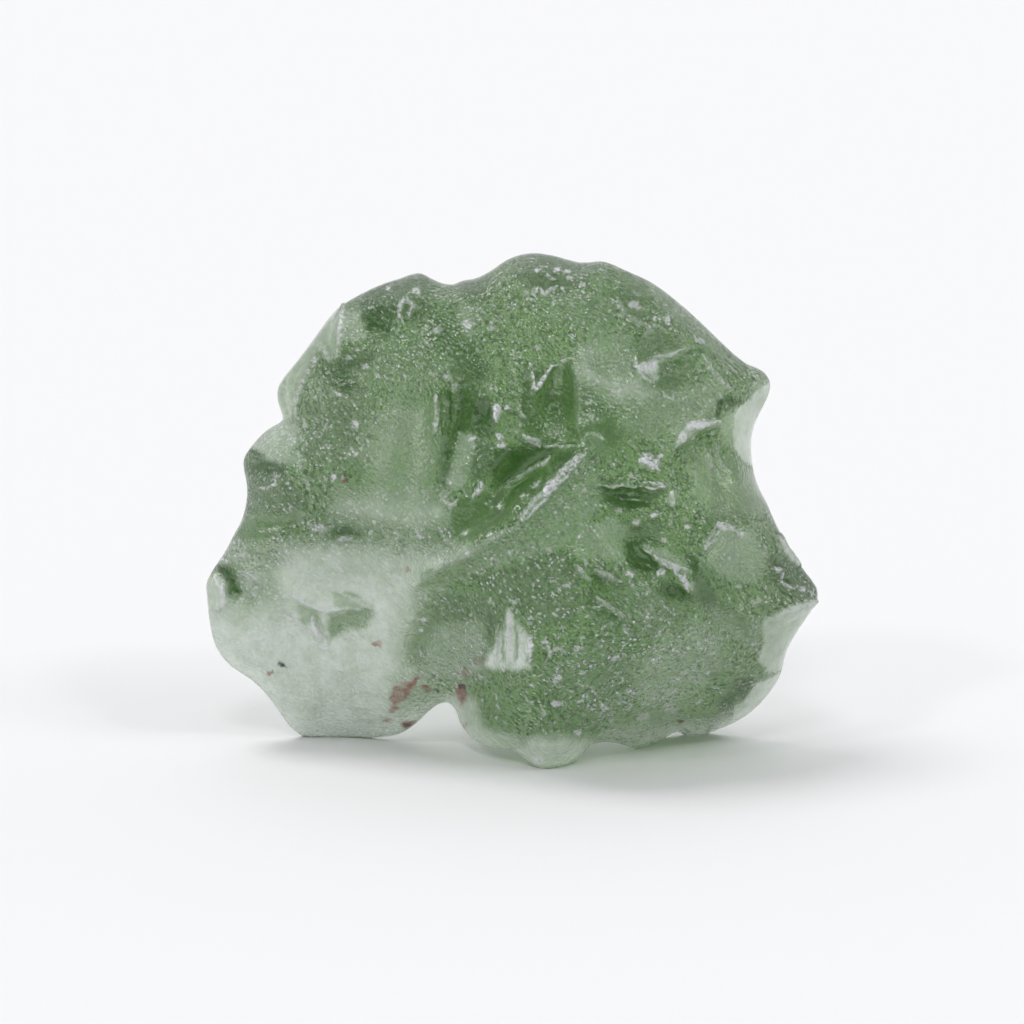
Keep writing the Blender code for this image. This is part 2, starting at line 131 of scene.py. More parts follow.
# Crests are (points along the crest, half width, height, whiteness), thin at both ends, steep on
# one side and gentle on the other. Whiteness says how white the top of the crest is painted: partly
# bruised glass, partly a painted highlight along the crest.
STEEP_SHARE, GENTLE_SHARE = 0.6, 2.4
END_SHARE = 0.25
CRESTS = (
    (((0.2, 12.05), (0.95, 13.1), (1.75, 13.95), (2.8, 15.1), (3.6, 15.6)), 0.26, 0.26, 0.60),
    (((0.5, 12.2), (1.3, 13.0), (2.2, 13.95), (3.1, 14.95)), 0.14, 0.10, 0.70),
    (((1.2, 13.3), (1.9, 13.85), (2.5, 14.6)), 0.16, 0.12, 0.90),
    (((2.3, 14.45), (2.8, 14.9), (3.5, 15.45)), 0.15, 0.12, 0.85),
    (((0.9, 13.8), (1.2, 14.05), (1.5, 14.3)), 0.11, 0.10, 0.70),
    (((1.15, 14.9), (1.55, 15.1), (1.85, 15.4)), 0.14, 0.12, 0.80),
    (((-4.9, 9.1), (-3.6, 9.9), (-2.15, 10.7), (-0.4, 11.8), (0.4, 12.0)), 0.30, 0.12, 0.20),
    (((-0.2, 14.05), (0.8, 14.7), (1.8, 15.4)), 0.16, 0.14, 0.35),
    (((-8.2, 22.8), (-8.3, 21.7), (-8.5, 20.2)), 0.26, 0.22, 0.55),
    (((-8.5, 20.2), (-9.0, 20.1), (-9.4, 20.9)), 0.20, 0.14, 0.30),
    (((-9.6, 20.0), (-10.1, 19.2), (-10.5, 18.2), (-10.6, 17.2)), 0.22, 0.18, 0.45),
    (((-5.3, 21.8), (-5.55, 22.3), (-5.5, 22.8), (-5.15, 23.05), (-4.75, 22.8), (-5.0, 22.2)),
     0.20, 0.24, 0.70),
    (((-4.3, 21.1), (-4.0, 20.8)), 0.14, 0.12, 0.30),
    (((1.6, 24.3), (2.2, 24.0)), 0.16, 0.14, 0.60),
    (((1.35, 23.7), (1.6, 23.3), (1.85, 23.5), (2.3, 23.7)), 0.15, 0.16, 0.60),
    (((0.95, 19.5), (1.2, 18.7), (1.7, 19.5), (1.95, 19.8), (2.2, 19.75)), 0.16, 0.18, 0.95),
    (((2.3, 20.05), (3.1, 20.2)), 0.14, 0.12, 0.50),
    (((3.1, 20.0), (3.3, 18.0), (3.3, 16.4)), 0.40, 0.14, 0.06),
    (((1.4, 15.9), (3.5, 15.9)), 0.12, 0.12, 0.45),
    (((-3.65, 18.4), (-3.6, 17.0), (-3.7, 16.4)), 0.18, 0.26, 0.80),
    (((-0.7, 17.75), (-0.72, 17.0)), 0.24, 0.26, 0.90),
    (((0.3, 17.8), (0.6, 17.2)), 0.15, 0.12, 0.40),
    (((-1.45, 14.2), (-1.4, 13.9), (-1.9, 13.3)), 0.20, 0.20, 0.70),
    (((0.5, 16.4), (1.0, 16.2), (1.4, 15.8)), 0.24, 0.18, 0.60),
    (((-2.9, 13.7), (-3.3, 13.3), (-3.0, 13.0), (-2.6, 13.3)), 0.18, 0.14, 0.45),
    (((3.4, 20.8), (3.5, 19.9), (3.9, 19.4), (4.7, 19.05)), 0.30, 0.16, 0.0),
    (((5.2, 23.2), (5.3, 22.6), (5.7, 22.2), (6.5, 21.8), (7.5, 21.6)), 0.20, 0.18, 0.25),
    (((6.1, 19.8), (7.0, 20.0), (7.1, 19.1)), 0.20, 0.20, 0.0),
    (((6.9, 20.2), (7.9, 20.4), (8.5, 20.7)), 0.14, 0.16, 0.60),
    (((6.0, 20.3), (6.05, 19.8), (6.35, 19.3), (7.0, 18.8)), 0.12, 0.16, 0.55),
    (((9.3, 20.4), (9.8, 19.6), (10.3, 19.0), (10.8, 18.6)), 0.20, 0.18, 0.40),
    (((7.9, 15.8), (8.3, 16.6), (8.8, 16.9), (10.2, 17.1)), 0.22, 0.28, 0.55),
    (((6.3, 15.6), (6.6, 15.1), (7.2, 14.7)), 0.20, 0.24, 0.75),
    (((4.0, 14.0), (5.1, 13.97), (6.2, 13.9)), 0.13, 0.16, 0.60),
    (((6.1, 14.0), (6.6, 14.15), (7.3, 14.05), (7.4, 13.9), (6.8, 13.8), (6.1, 13.9)), 0.12, 0.14, 0.80),
    (((7.8, 13.8), (7.85, 12.9)), 0.22, 0.22, 0.60),
    (((6.3, 10.95), (7.1, 10.4), (8.5, 9.9)), 0.14, 0.24, 0.60),
    (((7.6, 10.3), (8.1, 9.6), (8.6, 8.8)), 0.14, 0.24, 0.70),
    (((9.2, 10.7), (9.8, 11.4), (10.2, 12.1), (10.8, 11.9), (11.1, 11.6)), 0.16, 0.22, 0.60),
    (((10.05, 12.15), (9.3, 10.9)), 0.14, 0.14, 0.40),
    (((9.4, 15.9), (9.7, 15.0), (10.3, 14.2)), 0.18, 0.14, 0.30),
    (((9.9, 16.0), (10.1, 15.2), (10.7, 14.5)), 0.18, 0.14, 0.30),
    (((3.0, 10.2), (3.9, 9.3)), 0.24, 0.24, 0.40),
    (((4.0, 9.9), (5.3, 9.3)), 0.22, 0.20, 0.35),
    (((4.1, 8.6), (4.8, 8.1), (5.5, 7.6)), 0.24, 0.22, 0.35),
    (((13.3, 9.6), (13.2, 9.3), (13.4, 9.1), (13.8, 8.9)), 0.14, 0.16, 0.90),
    (((12.8, 7.6), (14.3, 8.2), (15.0, 8.4)), 0.28, 0.20, 0.35),
    (((13.0, 11.6), (13.5, 10.8), (14.1, 10.0)), 0.24, 0.20, 0.40),
    (((-12.3, 14.0), (-12.0, 13.8), (-11.6, 14.0), (-11.5, 14.5)), 0.16, 0.18, 0.65),
    (((-13.7, 10.5), (-13.0, 10.5)), 0.13, 0.14, 0.70),
    (((-14.6, 9.5), (-14.3, 9.1), (-14.1, 8.7), (-14.1, 8.2), (-14.4, 7.9)), 0.20, 0.22, 0.85),
    (((-13.4, 9.75), (-12.5, 9.75)), 0.14, 0.14, 0.45),
    (((-10.9, 8.7), (-10.4, 8.4), (-9.2, 7.9), (-8.0, 8.0)), 0.16, 0.16, 0.60),
    (((-11.4, 7.9), (-10.3, 7.2), (-9.3, 6.4)), 0.14, 0.14, 0.55),
    (((-9.8, 7.7), (-9.6, 7.1), (-9.35, 6.4)), 0.22, 0.22, 0.75),
    (((-8.6, 8.8), (-7.5, 8.4), (-6.8, 7.9)), 0.18, 0.14, 0.40),
    (((1.3, 6.5), (1.8, 6.3), (1.9, 5.7), (1.6, 5.3)), 0.16, 0.18, 0.50),
    (((-0.65, 7.3), (-0.75, 6.2), (-0.7, 5.2)), 0.12, 0.18, 0.50),
    (((-0.15, 7.8), (-0.1, 6.4), (-0.15, 5.2)), 0.18, 0.22, 0.90),
    (((0.45, 7.0), (0.4, 6.0), (0.35, 5.2)), 0.12, 0.16, 0.60),
    (((0.9, 6.7), (0.95, 6.1), (0.8, 5.3)), 0.20, 0.22, 0.95),
)
# Grooves are (points along the groove, half width, depth).
GROOVES = (
    (((-10.0, 19.3), (-9.0, 19.4)), 0.16, 0.16),
    (((-9.2, 19.0), (-8.3, 18.7), (-7.6, 18.1)), 0.20, 0.18),
    (((-7.3, 22.1), (-6.2, 21.5), (-6.1, 21.0)), 0.28, 0.24),
    (((-3.3, 18.4), (-3.25, 17.3), (-3.3, 16.5)), 0.22, 0.26),
    (((10.25, 18.1), (10.1, 17.2)), 0.26, 0.30),
    (((-7.0, 16.35), (-6.5, 16.2)), 0.16, 0.16),
    (((-9.6, 7.6), (-9.3, 6.9), (-9.1, 6.4)), 0.14, 0.16),
    (((-4.0, 8.0), (-4.2, 7.0), (-4.9, 5.3)), 0.80, 0.20),
    (((-14.3, 9.9), (-13.6, 9.2), (-13.4, 8.7)), 0.26, 0.26),
    (((-12.9, 15.7), (-12.1, 15.5)), 0.20, 0.20),
    (((3.4, 9.7), (4.6, 8.8)), 0.28, 0.24),
    (((0.1, 12.6), (1.2, 13.9), (2.4, 15.1)), 0.34, 0.24),
)
# Dishes are (u, v, half length, half width, turn in degrees, depth).
DISHES = (
    (-7.15, 20.2, 0.55, 0.28, 0, 0.16), (-1.5, 17.4, 0.70, 0.42, 84, 0.22),
    (5.6, 13.4, 1.40, 0.46, -8, 0.22), (6.2, 10.5, 0.95, 0.55, -42, 0.25), (8.0, 8.8, 0.50, 0.38, 0, 0.18),
    (13.05, 10.15, 0.42, 0.28, -30, 0.18), (-12.25, 14.75, 0.66, 0.28, -5, 0.18),
    (-7.95, 11.7, 0.68, 0.24, 0, 0.17), (13.5, 9.2, 0.24, 0.18, 0, 0.12), (1.6, 5.75, 0.26, 0.20, 80, 0.13),
    (6.0, 23.4, 0.42, 0.26, -20, 0.13), (6.2, 22.3, 0.46, 0.26, -20, 0.13),
    (8.6, 20.0, 0.26, 0.22, 0, 0.12), (8.95, 19.5, 0.22, 0.20, 0, 0.10), (1.5, 24.2, 0.24, 0.16, 0, 0.09),
    (3.0, 24.0, 0.26, 0.18, 0, 0.09), (2.1, 23.85, 0.20, 0.14, 0, 0.08),
    (-1.95, 21.4, 0.40, 0.25, 30, 0.10), (-4.2, 19.6, 0.42, 0.24, 60, 0.10),
    (2.3, 7.4, 0.45, 0.28, -20, 0.10), (-12.6, 8.3, 0.60, 0.20, -30, 0.12),
    (7.2, 17.6, 0.55, 0.32, -40, 0.12), (4.3, 12.3, 0.45, 0.28, -20, 0.12),
    (9.0, 12.2, 0.50, 0.26, -50, 0.13),
)
# The skin is made of planes, each with a finish of its own. They are (outline, milk, pits,
# depth, blur): how frosted it is, how pitted, how deep it is pressed in and how much painted shade
# darkens it to dark green, and how wide its edge blends into the planes before it.
PLANES = (
    # upper left
    (((-6.4, 21.2), (-3.6, 21.2), (-3.4, 18.6), (-6.0, 18.2)), 0.08, 0.80, 0.04, 1.17),
    (((-10.2, 20.2), (-7.0, 20.6), (-6.6, 16.4), (-7.2, 15.0), (-10.4, 15.0), (-10.5, 17.4)),
     0.09, 0.85, 0.03, 0.52),
    (((-8.2, 22.9), (-9.1, 22.1), (-10.2, 21.0), (-9.4, 20.6), (-9.0, 20.1), (-8.6, 20.2), (-8.4, 21.0),
      (-8.3, 22.0)), 0.24, 0.05, 0.02, 0.30),
    (((-9.9, 21.1), (-10.8, 20.1), (-11.7, 19.0), (-11.7, 18.2), (-11.3, 17.2), (-10.6, 17.2),
      (-10.6, 18.4), (-10.0, 19.6), (-9.5, 20.5)), 0.20, 0.00, 0.00, 0.12),
    (((-8.2, 22.6), (-7.4, 22.4), (-7.1, 21.2), (-7.5, 20.9), (-8.3, 21.0)), 0.24, 0.60, 0.00, 0.20),
    (((-7.3, 23.1), (-6.5, 23.9), (-5.6, 24.3), (-5.5, 23.0), (-5.8, 22.2), (-6.0, 21.4), (-6.8, 21.6),
      (-7.3, 22.2)), 0.00, 0.50, 0.26, 0.40),
    (((-7.2, 22.3), (-6.2, 22.1), (-6.2, 21.7), (-7.0, 21.7)), 0.00, 0.00, 0.21, 0.45),
    (((-5.6, 24.3), (-4.6, 24.5), (-3.9, 24.1), (-4.2, 22.6), (-4.8, 21.8), (-5.6, 22.9)),
     0.02, 0.35, 0.08, 0.45),
    (((-4.2, 22.6), (-2.8, 21.8), (-1.6, 21.0), (-1.2, 19.4), (-1.9, 18.2), (-3.2, 18.6), (-2.9, 19.8),
      (-4.2, 21.0)), 0.02, 0.35, 0.06, 0.65),
    (((-2.7, 24.1), (-1.9, 24.3), (-1.2, 24.2), (-1.1, 22.9), (-2.2, 23.0)), 0.01, 0.15, 0.05, 0.39),
    (((-2.6, 22.9), (-1.9, 22.6), (-1.8, 21.2), (-2.4, 21.4)), 0.20, 0.60, 0.00, 0.39),
    (((-9.8, 19.8), (-8.6, 20.0), (-6.6, 20.4), (-7.2, 19.7), (-8.0, 19.4), (-7.2, 18.6), (-8.0, 18.4),
      (-9.2, 19.2)), 0.02, 0.60, 0.16, 0.45),
    (((-8.8, 18.0), (-7.6, 17.6), (-7.4, 16.0), (-8.2, 16.0)), 0.06, 0.50, 0.06, 0.52),
    # left side
    (((-13.2, 16.1), (-12.0, 17.0), (-11.2, 17.3), (-10.5, 17.0), (-10.3, 16.2), (-10.7, 15.6),
      (-10.2, 15.0), (-11.6, 14.9), (-12.3, 15.5)), 0.36, 0.55, 0.00, 0.40),
    (((-13.3, 15.9), (-12.6, 15.7), (-12.2, 15.3), (-11.0, 14.9), (-11.4, 14.3), (-13.1, 14.5),
      (-13.4, 15.2)), 0.02, 0.50, 0.66, 0.30),
    (((-13.3, 14.4), (-11.4, 14.4), (-10.0, 13.4), (-10.2, 12.7), (-13.3, 12.6)), 0.09, 1.00, 0.18, 0.45),
    (((-13.6, 12.4), (-12.0, 12.5), (-10.3, 12.8), (-9.6, 12.5), (-10.6, 12.2), (-12.0, 11.2),
      (-13.9, 11.2)), 0.07, 0.10, 0.06, 0.39),
    (((-14.3, 11.2), (-10.4, 11.2), (-10.6, 10.0), (-14.6, 10.0)), 0.30, 1.5, 0.03, 0.50),
    (((-10.2, 12.2), (-6.0, 12.3), (-3.0, 12.0), (-2.6, 11.2), (-3.4, 10.2), (-6.5, 10.2), (-9.6, 10.8)),
     0.16, 1.5, 0.05, 0.52),
    (((-9.2, 11.3), (-8.6, 11.9), (-7.4, 11.8), (-7.2, 11.4), (-8.0, 11.5), (-8.6, 11.2)),
     0.00, 0.20, 0.34, 0.33),
    # valley in the middle of the left half
    (((-6.9, 16.6), (-5.6, 18.0), (-4.1, 17.8), (-3.7, 16.0), (-3.8, 14.0), (-4.6, 12.8), (-6.8, 13.2),
      (-7.0, 15.0)), 0.24, 0.45, 0.00, 1.20),
    (((-8.4, 13.6), (-6.4, 13.5), (-3.2, 13.3), (-3.0, 12.4), (-4.5, 11.8), (-7.5, 12.1), (-8.8, 12.6)),
     0.36, 0.50, 0.00, 1.20),
    # thin lobe, lower left
    (((-10.2, 10.3), (-6.0, 10.2), (-4.0, 9.9), (-4.9, 7.6), (-5.0, 5.0), (-5.4, 3.4), (-4.4, 2.4),
      (-6.0, 1.3), (-10.5, 1.2), (-13.2, 4.2), (-15.1, 6.5), (-15.2, 7.8), (-12.2, 8.2), (-11.6, 9.2)),
     0.76, 0.45, 0.00, 2.80),
    (((-10.4, 10.4), (-7.6, 10.0), (-5.4, 9.4), (-7.6, 8.8), (-9.8, 8.8), (-11.2, 9.4)),
     0.80, 0.40, 0.00, 1.60),
    (((-9.6, 10.6), (-7.2, 10.9), (-4.5, 10.5), (-2.2, 10.9), (-3.0, 10.2), (-4.6, 9.5), (-6.0, 8.8),
      (-9.0, 9.2), (-11.0, 9.4)), 0.60, 0.60, 0.00, 1.40),
    (((-13.2, 9.9), (-11.6, 9.8), (-11.4, 8.6), (-13.0, 8.0), (-13.9, 8.3)), 0.38, 0.90, 0.04, 0.60),
    (((-12.6, 5.0), (-7.4, 4.4), (-6.6, 2.4), (-6.6, 1.2), (-10.6, 1.2)), 0.76, 0.60, 0.00, 1.40),
    (((-15.3, 7.6), (-15.0, 6.0), (-14.2, 5.0), (-12.8, 4.2), (-12.0, 3.3), (-11.2, 1.8), (-10.3, 1.2),
      (-9.8, 2.0), (-11.2, 3.6), (-12.6, 5.0), (-13.8, 6.0), (-14.2, 7.4)), 0.66, 0.30, 0.00, 0.80),
    (((-10.6, 8.3), (-9.4, 7.9), (-9.5, 7.0), (-10.4, 7.3)), 0.30, 0.05, 0.07, 0.30),
    (((-9.0, 7.6), (-7.0, 8.0), (-6.75, 7.6), (-7.1, 7.0), (-8.3, 6.8), (-8.9, 6.3), (-9.1, 6.9)),
     0.16, 0.30, 0.15, 0.32),
    (((-8.8, 8.7), (-7.8, 8.7), (-7.0, 8.1), (-8.6, 7.9)), 0.36, 0.05, 0.00, 0.12),
    (((-15.3, 9.0), (-14.5, 9.8), (-14.0, 9.0), (-13.9, 8.4), (-14.5, 7.8), (-15.3, 7.9)),
     0.45, 0.10, 0.00, 0.15),
    (((-14.5, 10.2), (-13.9, 9.9), (-13.5, 9.3), (-13.2, 8.7), (-13.6, 8.2), (-13.9, 8.8), (-14.0, 9.4)),
     0.00, 0.10, 0.43, 0.26),
    # between the thin lobe and the crushed chip
    (((-4.4, 8.4), (-1.2, 8.4), (-1.2, 4.8), (-2.6, 4.2), (-4.6, 4.8)), 0.30, 1.4, 0.02, 0.80),
    (((-4.1, 8.4), (-3.6, 7.4), (-4.2, 6.4), (-4.6, 5.2), (-5.1, 5.2), (-5.0, 6.2), (-4.6, 7.0)),
     0.08, 0.50, 0.08, 0.70),
    (((-3.9, 8.8), (-1.0, 8.4), (0.1, 8.1), (-0.8, 7.5), (-3.2, 7.2), (-3.9, 7.5)), 0.06, 0.60, 0.12, 0.45),
    (((-3.2, 3.4), (-2.5, 1.8), (-1.3, 0.8), (0.0, 0.8), (0.4, 1.6), (-1.4, 2.2), (-1.8, 3.2), (-2.4, 4.2)),
     0.50, 0.30, 0.00, 0.45),
    # middle
    (((-3.4, 18.3), (-2.7, 18.6), (-1.9, 18.2), (-1.0, 18.0), (-0.9, 17.0), (-1.2, 16.4), (-2.0, 16.5),
      (-2.6, 16.0), (-3.0, 14.8), (-3.2, 13.8), (-3.6, 14.2), (-3.4, 16.2)), 0.01, 0.10, 0.14, 0.44),
    (((-1.9, 17.9), (-1.1, 17.9), (-1.0, 17.1), (-1.6, 17.0)), 0.00, 0.10, 0.31, 0.44),
    (((-2.6, 16.5), (-1.8, 16.4), (-1.9, 15.0), (-2.4, 13.9), (-2.9, 13.6), (-3.1, 14.4), (-2.7, 15.4)),
     0.24, 0.30, 0.00, 0.20),
    (((-1.7, 16.0), (-1.0, 15.8), (-0.9, 14.8), (-1.6, 14.2), (-2.2, 14.6)), 0.03, 0.40, 0.12, 0.45),
    (((-3.0, 13.2), (-2.0, 13.4), (-1.6, 13.2), (0.2, 14.2), (1.8, 15.4), (2.6, 15.8), (3.4, 15.8),
      (2.4, 14.9), (1.6, 14.1), (0.5, 12.9), (-0.1, 12.2), (-1.4, 11.6), (-2.6, 11.2), (-3.0, 12.0)),
     0.03, 0.06, 0.04, 0.26),
    (((-0.8, 15.8), (0.2, 15.7), (1.4, 15.8), (2.4, 15.7), (1.8, 15.4), (0.0, 14.2), (-0.8, 13.8),
      (-1.0, 14.8)), 0.01, 0.04, 0.19, 0.33),
    (((2.2, 15.5), (3.3, 15.7), (2.6, 15.1), (2.1, 14.6), (1.9, 14.9)), 0.00, 0.05, 0.29, 0.33),
    (((0.6, 19.3), (0.95, 19.6), (1.9, 19.7), (3.1, 20.0), (3.2, 18.0), (3.3, 15.9), (1.4, 15.9),
      (0.7, 16.4), (0.3, 17.6)), 0.03, 0.25, 0.06, 0.25),
    (((3.3, 19.4), (3.6, 18.8), (4.4, 18.0), (5.0, 17.4), (5.6, 16.6), (5.0, 15.8), (4.0, 15.2),
      (3.4, 15.8), (3.3, 17.0)), 0.06, 0.10, 0.06, 0.45),
    (((0.3, 12.1), (3.6, 15.3), (4.2, 14.6), (4.4, 13.0), (3.4, 12.0), (2.6, 11.0), (0.6, 10.4),
      (-2.4, 9.4), (-4.6, 8.8), (-4.4, 9.6), (-2.2, 10.6)), 0.15, 0.80, 0.00, 0.25),
    (((-1.8, 9.4), (1.0, 10.4), (2.6, 10.8), (3.2, 9.6), (2.8, 7.4), (1.2, 7.2), (0.2, 8.2), (-1.2, 8.6)),
     0.08, 1.2, 0.09, 0.65),
    # crushed chip
    (((-0.2, 7.95), (0.3, 7.3), (0.6, 7.0), (0.85, 6.4), (0.9, 6.0), (0.7, 5.4), (0.9, 5.1), (0.0, 4.95),
      (-1.0, 5.0), (-1.4, 5.3), (-0.8, 6.2), (-0.5, 7.0)), 0.84, 0.50, 0.00, 0.30),
    (((0.0, 7.3), (0.5, 6.9), (0.85, 6.2), (0.6, 5.4), (0.05, 5.3), (-0.1, 6.2)), 0.92, 0.40, 0.00, 0.30),
    (((-1.2, 7.9), (-0.8, 7.6), (-0.95, 6.5), (-1.25, 6.6)), 0.00, 0.10, 0.23, 0.26),
    (((0.14, 7.5), (0.32, 7.2), (0.32, 5.6), (0.12, 5.4)), 0.20, 0.2, 0.12, 0.14),
    (((-0.52, 7.2), (-0.34, 7.3), (-0.36, 5.4), (-0.54, 5.3)), 0.20, 0.2, 0.12, 0.14),
    # pitted ground right of the chip
    (((1.6, 5.2), (4.4, 6.6), (6.2, 5.6), (6.6, 3.4), (4.6, 2.2), (2.0, 2.4)), 0.10, 1.7, 0.05, 0.90),
    (((4.4, 9.0), (6.8, 9.4), (8.6, 8.2), (8.0, 6.8), (5.6, 6.4), (4.2, 7.4)), 0.12, 1.4, 0.06, 0.90),
    # upper middle and the two bowls
    (((0.0, 25.5), (3.4, 25.2), (3.6, 23.6), (1.2, 23.4), (0.2, 24.2)), 0.06, 0.80, 0.18, 0.45),
    (((1.4, 23.0), (3.0, 23.4), (4.6, 23.4), (5.0, 22.2), (4.4, 21.4), (3.2, 21.8), (1.6, 22.0)),
     0.08, 0.60, 0.05, 0.65),
    (((4.0, 21.4), (5.6, 21.5), (6.0, 20.6), (5.9, 19.6), (5.4, 19.1), (4.5, 19.3), (4.1, 20.0)),
     0.16, 0.35, 0.00, 0.60),
    (((3.3, 20.6), (3.9, 20.7), (4.0, 19.8), (4.4, 19.2), (5.4, 19.0), (6.2, 19.2), (7.0, 18.3),
      (6.2, 17.9), (4.8, 18.1), (4.2, 18.6), (3.5, 19.0), (3.2, 19.8)), 0.38, 0.40, 0.00, 0.90),
    (((5.2, 17.9), (7.0, 18.2), (8.2, 16.6), (7.2, 16.0), (5.2, 16.6)), 0.14, 0.25, 0.00, 0.52),
    (((6.8, 18.2), (8.8, 18.8), (10.0, 19.4), (10.4, 18.6), (10.0, 17.3), (8.6, 16.8), (7.6, 16.6),
      (6.6, 17.2)), 0.16, 0.70, 0.00, 0.45),
    (((6.0, 21.4), (7.2, 21.7), (8.3, 21.0), (8.9, 20.4), (9.1, 19.4), (8.4, 18.8), (7.4, 18.5),
      (6.6, 18.9), (6.1, 19.6), (6.0, 20.4)), 0.05, 0.30, 0.05, 0.35),
    (((6.05, 19.8), (6.6, 19.9), (7.0, 20.15), (8.6, 20.75), (7.9, 20.25), (7.2, 19.95), (7.1, 19.1),
      (6.8, 19.0), (6.4, 19.3)), 0.45, 0.25, 0.00, 0.35),
    (((5.2, 23.0), (6.0, 23.8), (6.6, 23.2), (7.0, 22.4), (7.4, 21.9), (6.2, 22.0), (5.4, 22.5)),
     0.06, 0.30, 0.08, 0.44),
    (((6.0, 24.6), (8.0, 23.2), (10.6, 20.8), (10.2, 20.0), (8.8, 21.2), (7.2, 22.6)),
     0.14, 0.90, 0.06, 0.39),
    # right side
    (((7.9, 15.7), (8.05, 16.4), (8.6, 16.95), (10.25, 17.2), (9.6, 16.8), (9.0, 16.5), (8.4, 16.0)),
     0.36, 0.60, 0.00, 0.20),
    (((10.0, 18.1), (10.6, 18.3), (11.2, 18.1), (11.0, 17.8), (10.3, 17.6), (10.2, 17.0), (9.9, 17.2)),
     0.00, 0.10, 0.31, 0.33),
    (((10.2, 17.4), (10.9, 17.7), (10.8, 15.7), (10.0, 15.8)), 0.12, 0.15, 0.00, 0.30),
    (((12.9, 19.2), (12.2, 18.8), (11.4, 18.1), (10.9, 17.6), (10.75, 16.4), (10.9, 15.6), (11.5, 14.9),
      (12.0, 14.9), (12.1, 16.6), (12.6, 17.8), (12.9, 18.8)), 0.55, 0.05, 0.00, 0.10),
    (((8.8, 15.6), (10.8, 15.4), (12.0, 14.4), (12.6, 13.2), (11.4, 12.4), (9.6, 12.4), (8.6, 13.6)),
     0.12, 0.15, 0.01, 0.52),
    (((4.1, 13.9), (6.1, 13.8), (7.3, 13.75), (6.6, 13.0), (5.4, 12.8), (4.6, 13.2)),
     0.01, 0.08, 0.26, 0.44),
    (((7.6, 13.85), (8.0, 13.7), (7.95, 13.0), (7.6, 13.05)), 0.24, 0.10, 0.00, 0.10),
    (((5.2, 12.0), (7.2, 12.2), (7.2, 11.2), (5.6, 11.3)), 0.02, 0.15, 0.13, 0.45),
    (((4.8, 12.4), (5.6, 12.0), (5.6, 10.8), (5.2, 10.2), (3.2, 10.6), (2.6, 11.0), (3.4, 12.0)),
     0.19, 0.35, 0.00, 0.39),
    (((5.4, 11.3), (6.2, 11.2), (7.2, 10.2), (7.6, 9.8), (6.0, 9.8), (5.6, 10.6)), 0.01, 0.05, 0.23, 0.26),
    (((6.2, 11.05), (7.4, 10.9), (8.3, 10.2), (8.75, 9.7), (8.0, 9.8), (7.0, 10.3)),
     0.24, 0.70, 0.00, 0.12),
    (((7.3, 9.3), (8.2, 9.0), (8.7, 8.5), (8.0, 8.4), (7.2, 8.8)), 0.00, 0.10, 0.31, 0.33),
    (((8.4, 10.7), (9.0, 10.3), (10.1, 8.4), (9.6, 7.9), (8.9, 8.4), (8.7, 9.7)), 0.03, 0.10, 0.12, 0.20),
    (((3.7, 8.8), (4.1, 8.6), (5.5, 7.6), (5.2, 7.1), (4.2, 7.5), (3.6, 8.2)), 0.02, 0.10, 0.17, 0.33),
    (((3.9, 9.9), (5.3, 9.5), (5.4, 9.15), (3.9, 9.4)), 0.02, 0.10, 0.14, 0.33),
    (((9.3, 11.0), (10.2, 12.1), (11.6, 11.8), (12.4, 10.6), (12.0, 9.4), (10.4, 9.4), (9.6, 10.0)),
     0.20, 0.35, 0.00, 0.39),
    (((12.9, 11.6), (13.4, 11.4), (14.3, 10.2), (13.8, 10.1)), 0.48, 0.15, 0.00, 0.15),
    (((12.6, 10.4), (13.2, 10.5), (14.4, 9.8), (15.2, 8.9), (14.6, 8.4), (13.8, 8.5), (12.8, 9.2)),
     0.07, 1.00, 0.23, 0.40),
    (((15.3, 8.4), (13.9, 8.1), (12.9, 7.8), (12.2, 7.2), (12.4, 6.2), (12.0, 5.4), (12.6, 4.7),
      (13.6, 4.9), (13.7, 5.8), (14.5, 7.0)), 0.46, 0.06, 0.00, 0.12),
    (((9.8, 8.2), (11.0, 7.6), (12.2, 7.0), (12.3, 6.2), (11.6, 6.0), (10.2, 6.8), (9.6, 7.4)),
     0.14, 0.60, 0.06, 0.39),
    # bottom right
    (((6.0, 5.0), (7.4, 6.6), (9.0, 7.3), (10.0, 6.6), (10.4, 5.2), (9.6, 4.2), (8.4, 3.4), (6.4, 3.2)),
     0.26, 1.7, 0.00, 0.90),
    (((13.3, 4.7), (12.0, 4.3), (11.4, 3.5), (11.0, 3.0), (10.7, 2.2), (11.8, 2.4), (13.0, 3.6)),
     0.60, 0.05, 0.00, 0.10),
    (((11.9, 4.3), (11.2, 3.6), (10.8, 3.0), (10.5, 2.6), (10.2, 3.3), (10.8, 4.1), (11.4, 4.5)),
     0.02, 1.00, 0.29, 0.35),
    (((-0.2, 1.0), (0.8, 0.0), (2.6, 0.0), (3.6, 0.7), (3.9, 1.5), (2.6, 1.7), (1.0, 1.6)),
     0.60, 0.35, 0.00, 0.60),
    (((4.0, 1.0), (6.2, 0.7), (8.0, 1.5), (8.9, 1.2), (11.0, 2.0), (10.6, 2.6), (8.4, 2.5), (6.4, 2.3),
      (4.6, 2.0)), 0.34, 1.5, 0.00, 0.50),
)
OPEN_MILK, OPEN_PITS = 0.03, 0.75
# Stretches where the pits run together into slanting wrinkles: (u, v, half length, half width, turn).
WRINKLED = (
    (-11.6, 13.4, 2.0, 1.0, -10), (-6.6, 11.2, 4.6, 1.0, -4), (-11.6, 10.4, 2.6, 1.0, 0),
    (-8.9, 18.0, 1.9, 2.6, 30), (11.0, 8.8, 2.0, 0.9, -35), (2.0, 2.6, 2.6, 1.4, 0),
    (7.0, 22.6, 3.4, 0.8, -42), (-12.4, 8.8, 1.2, 1.0, 0),
)
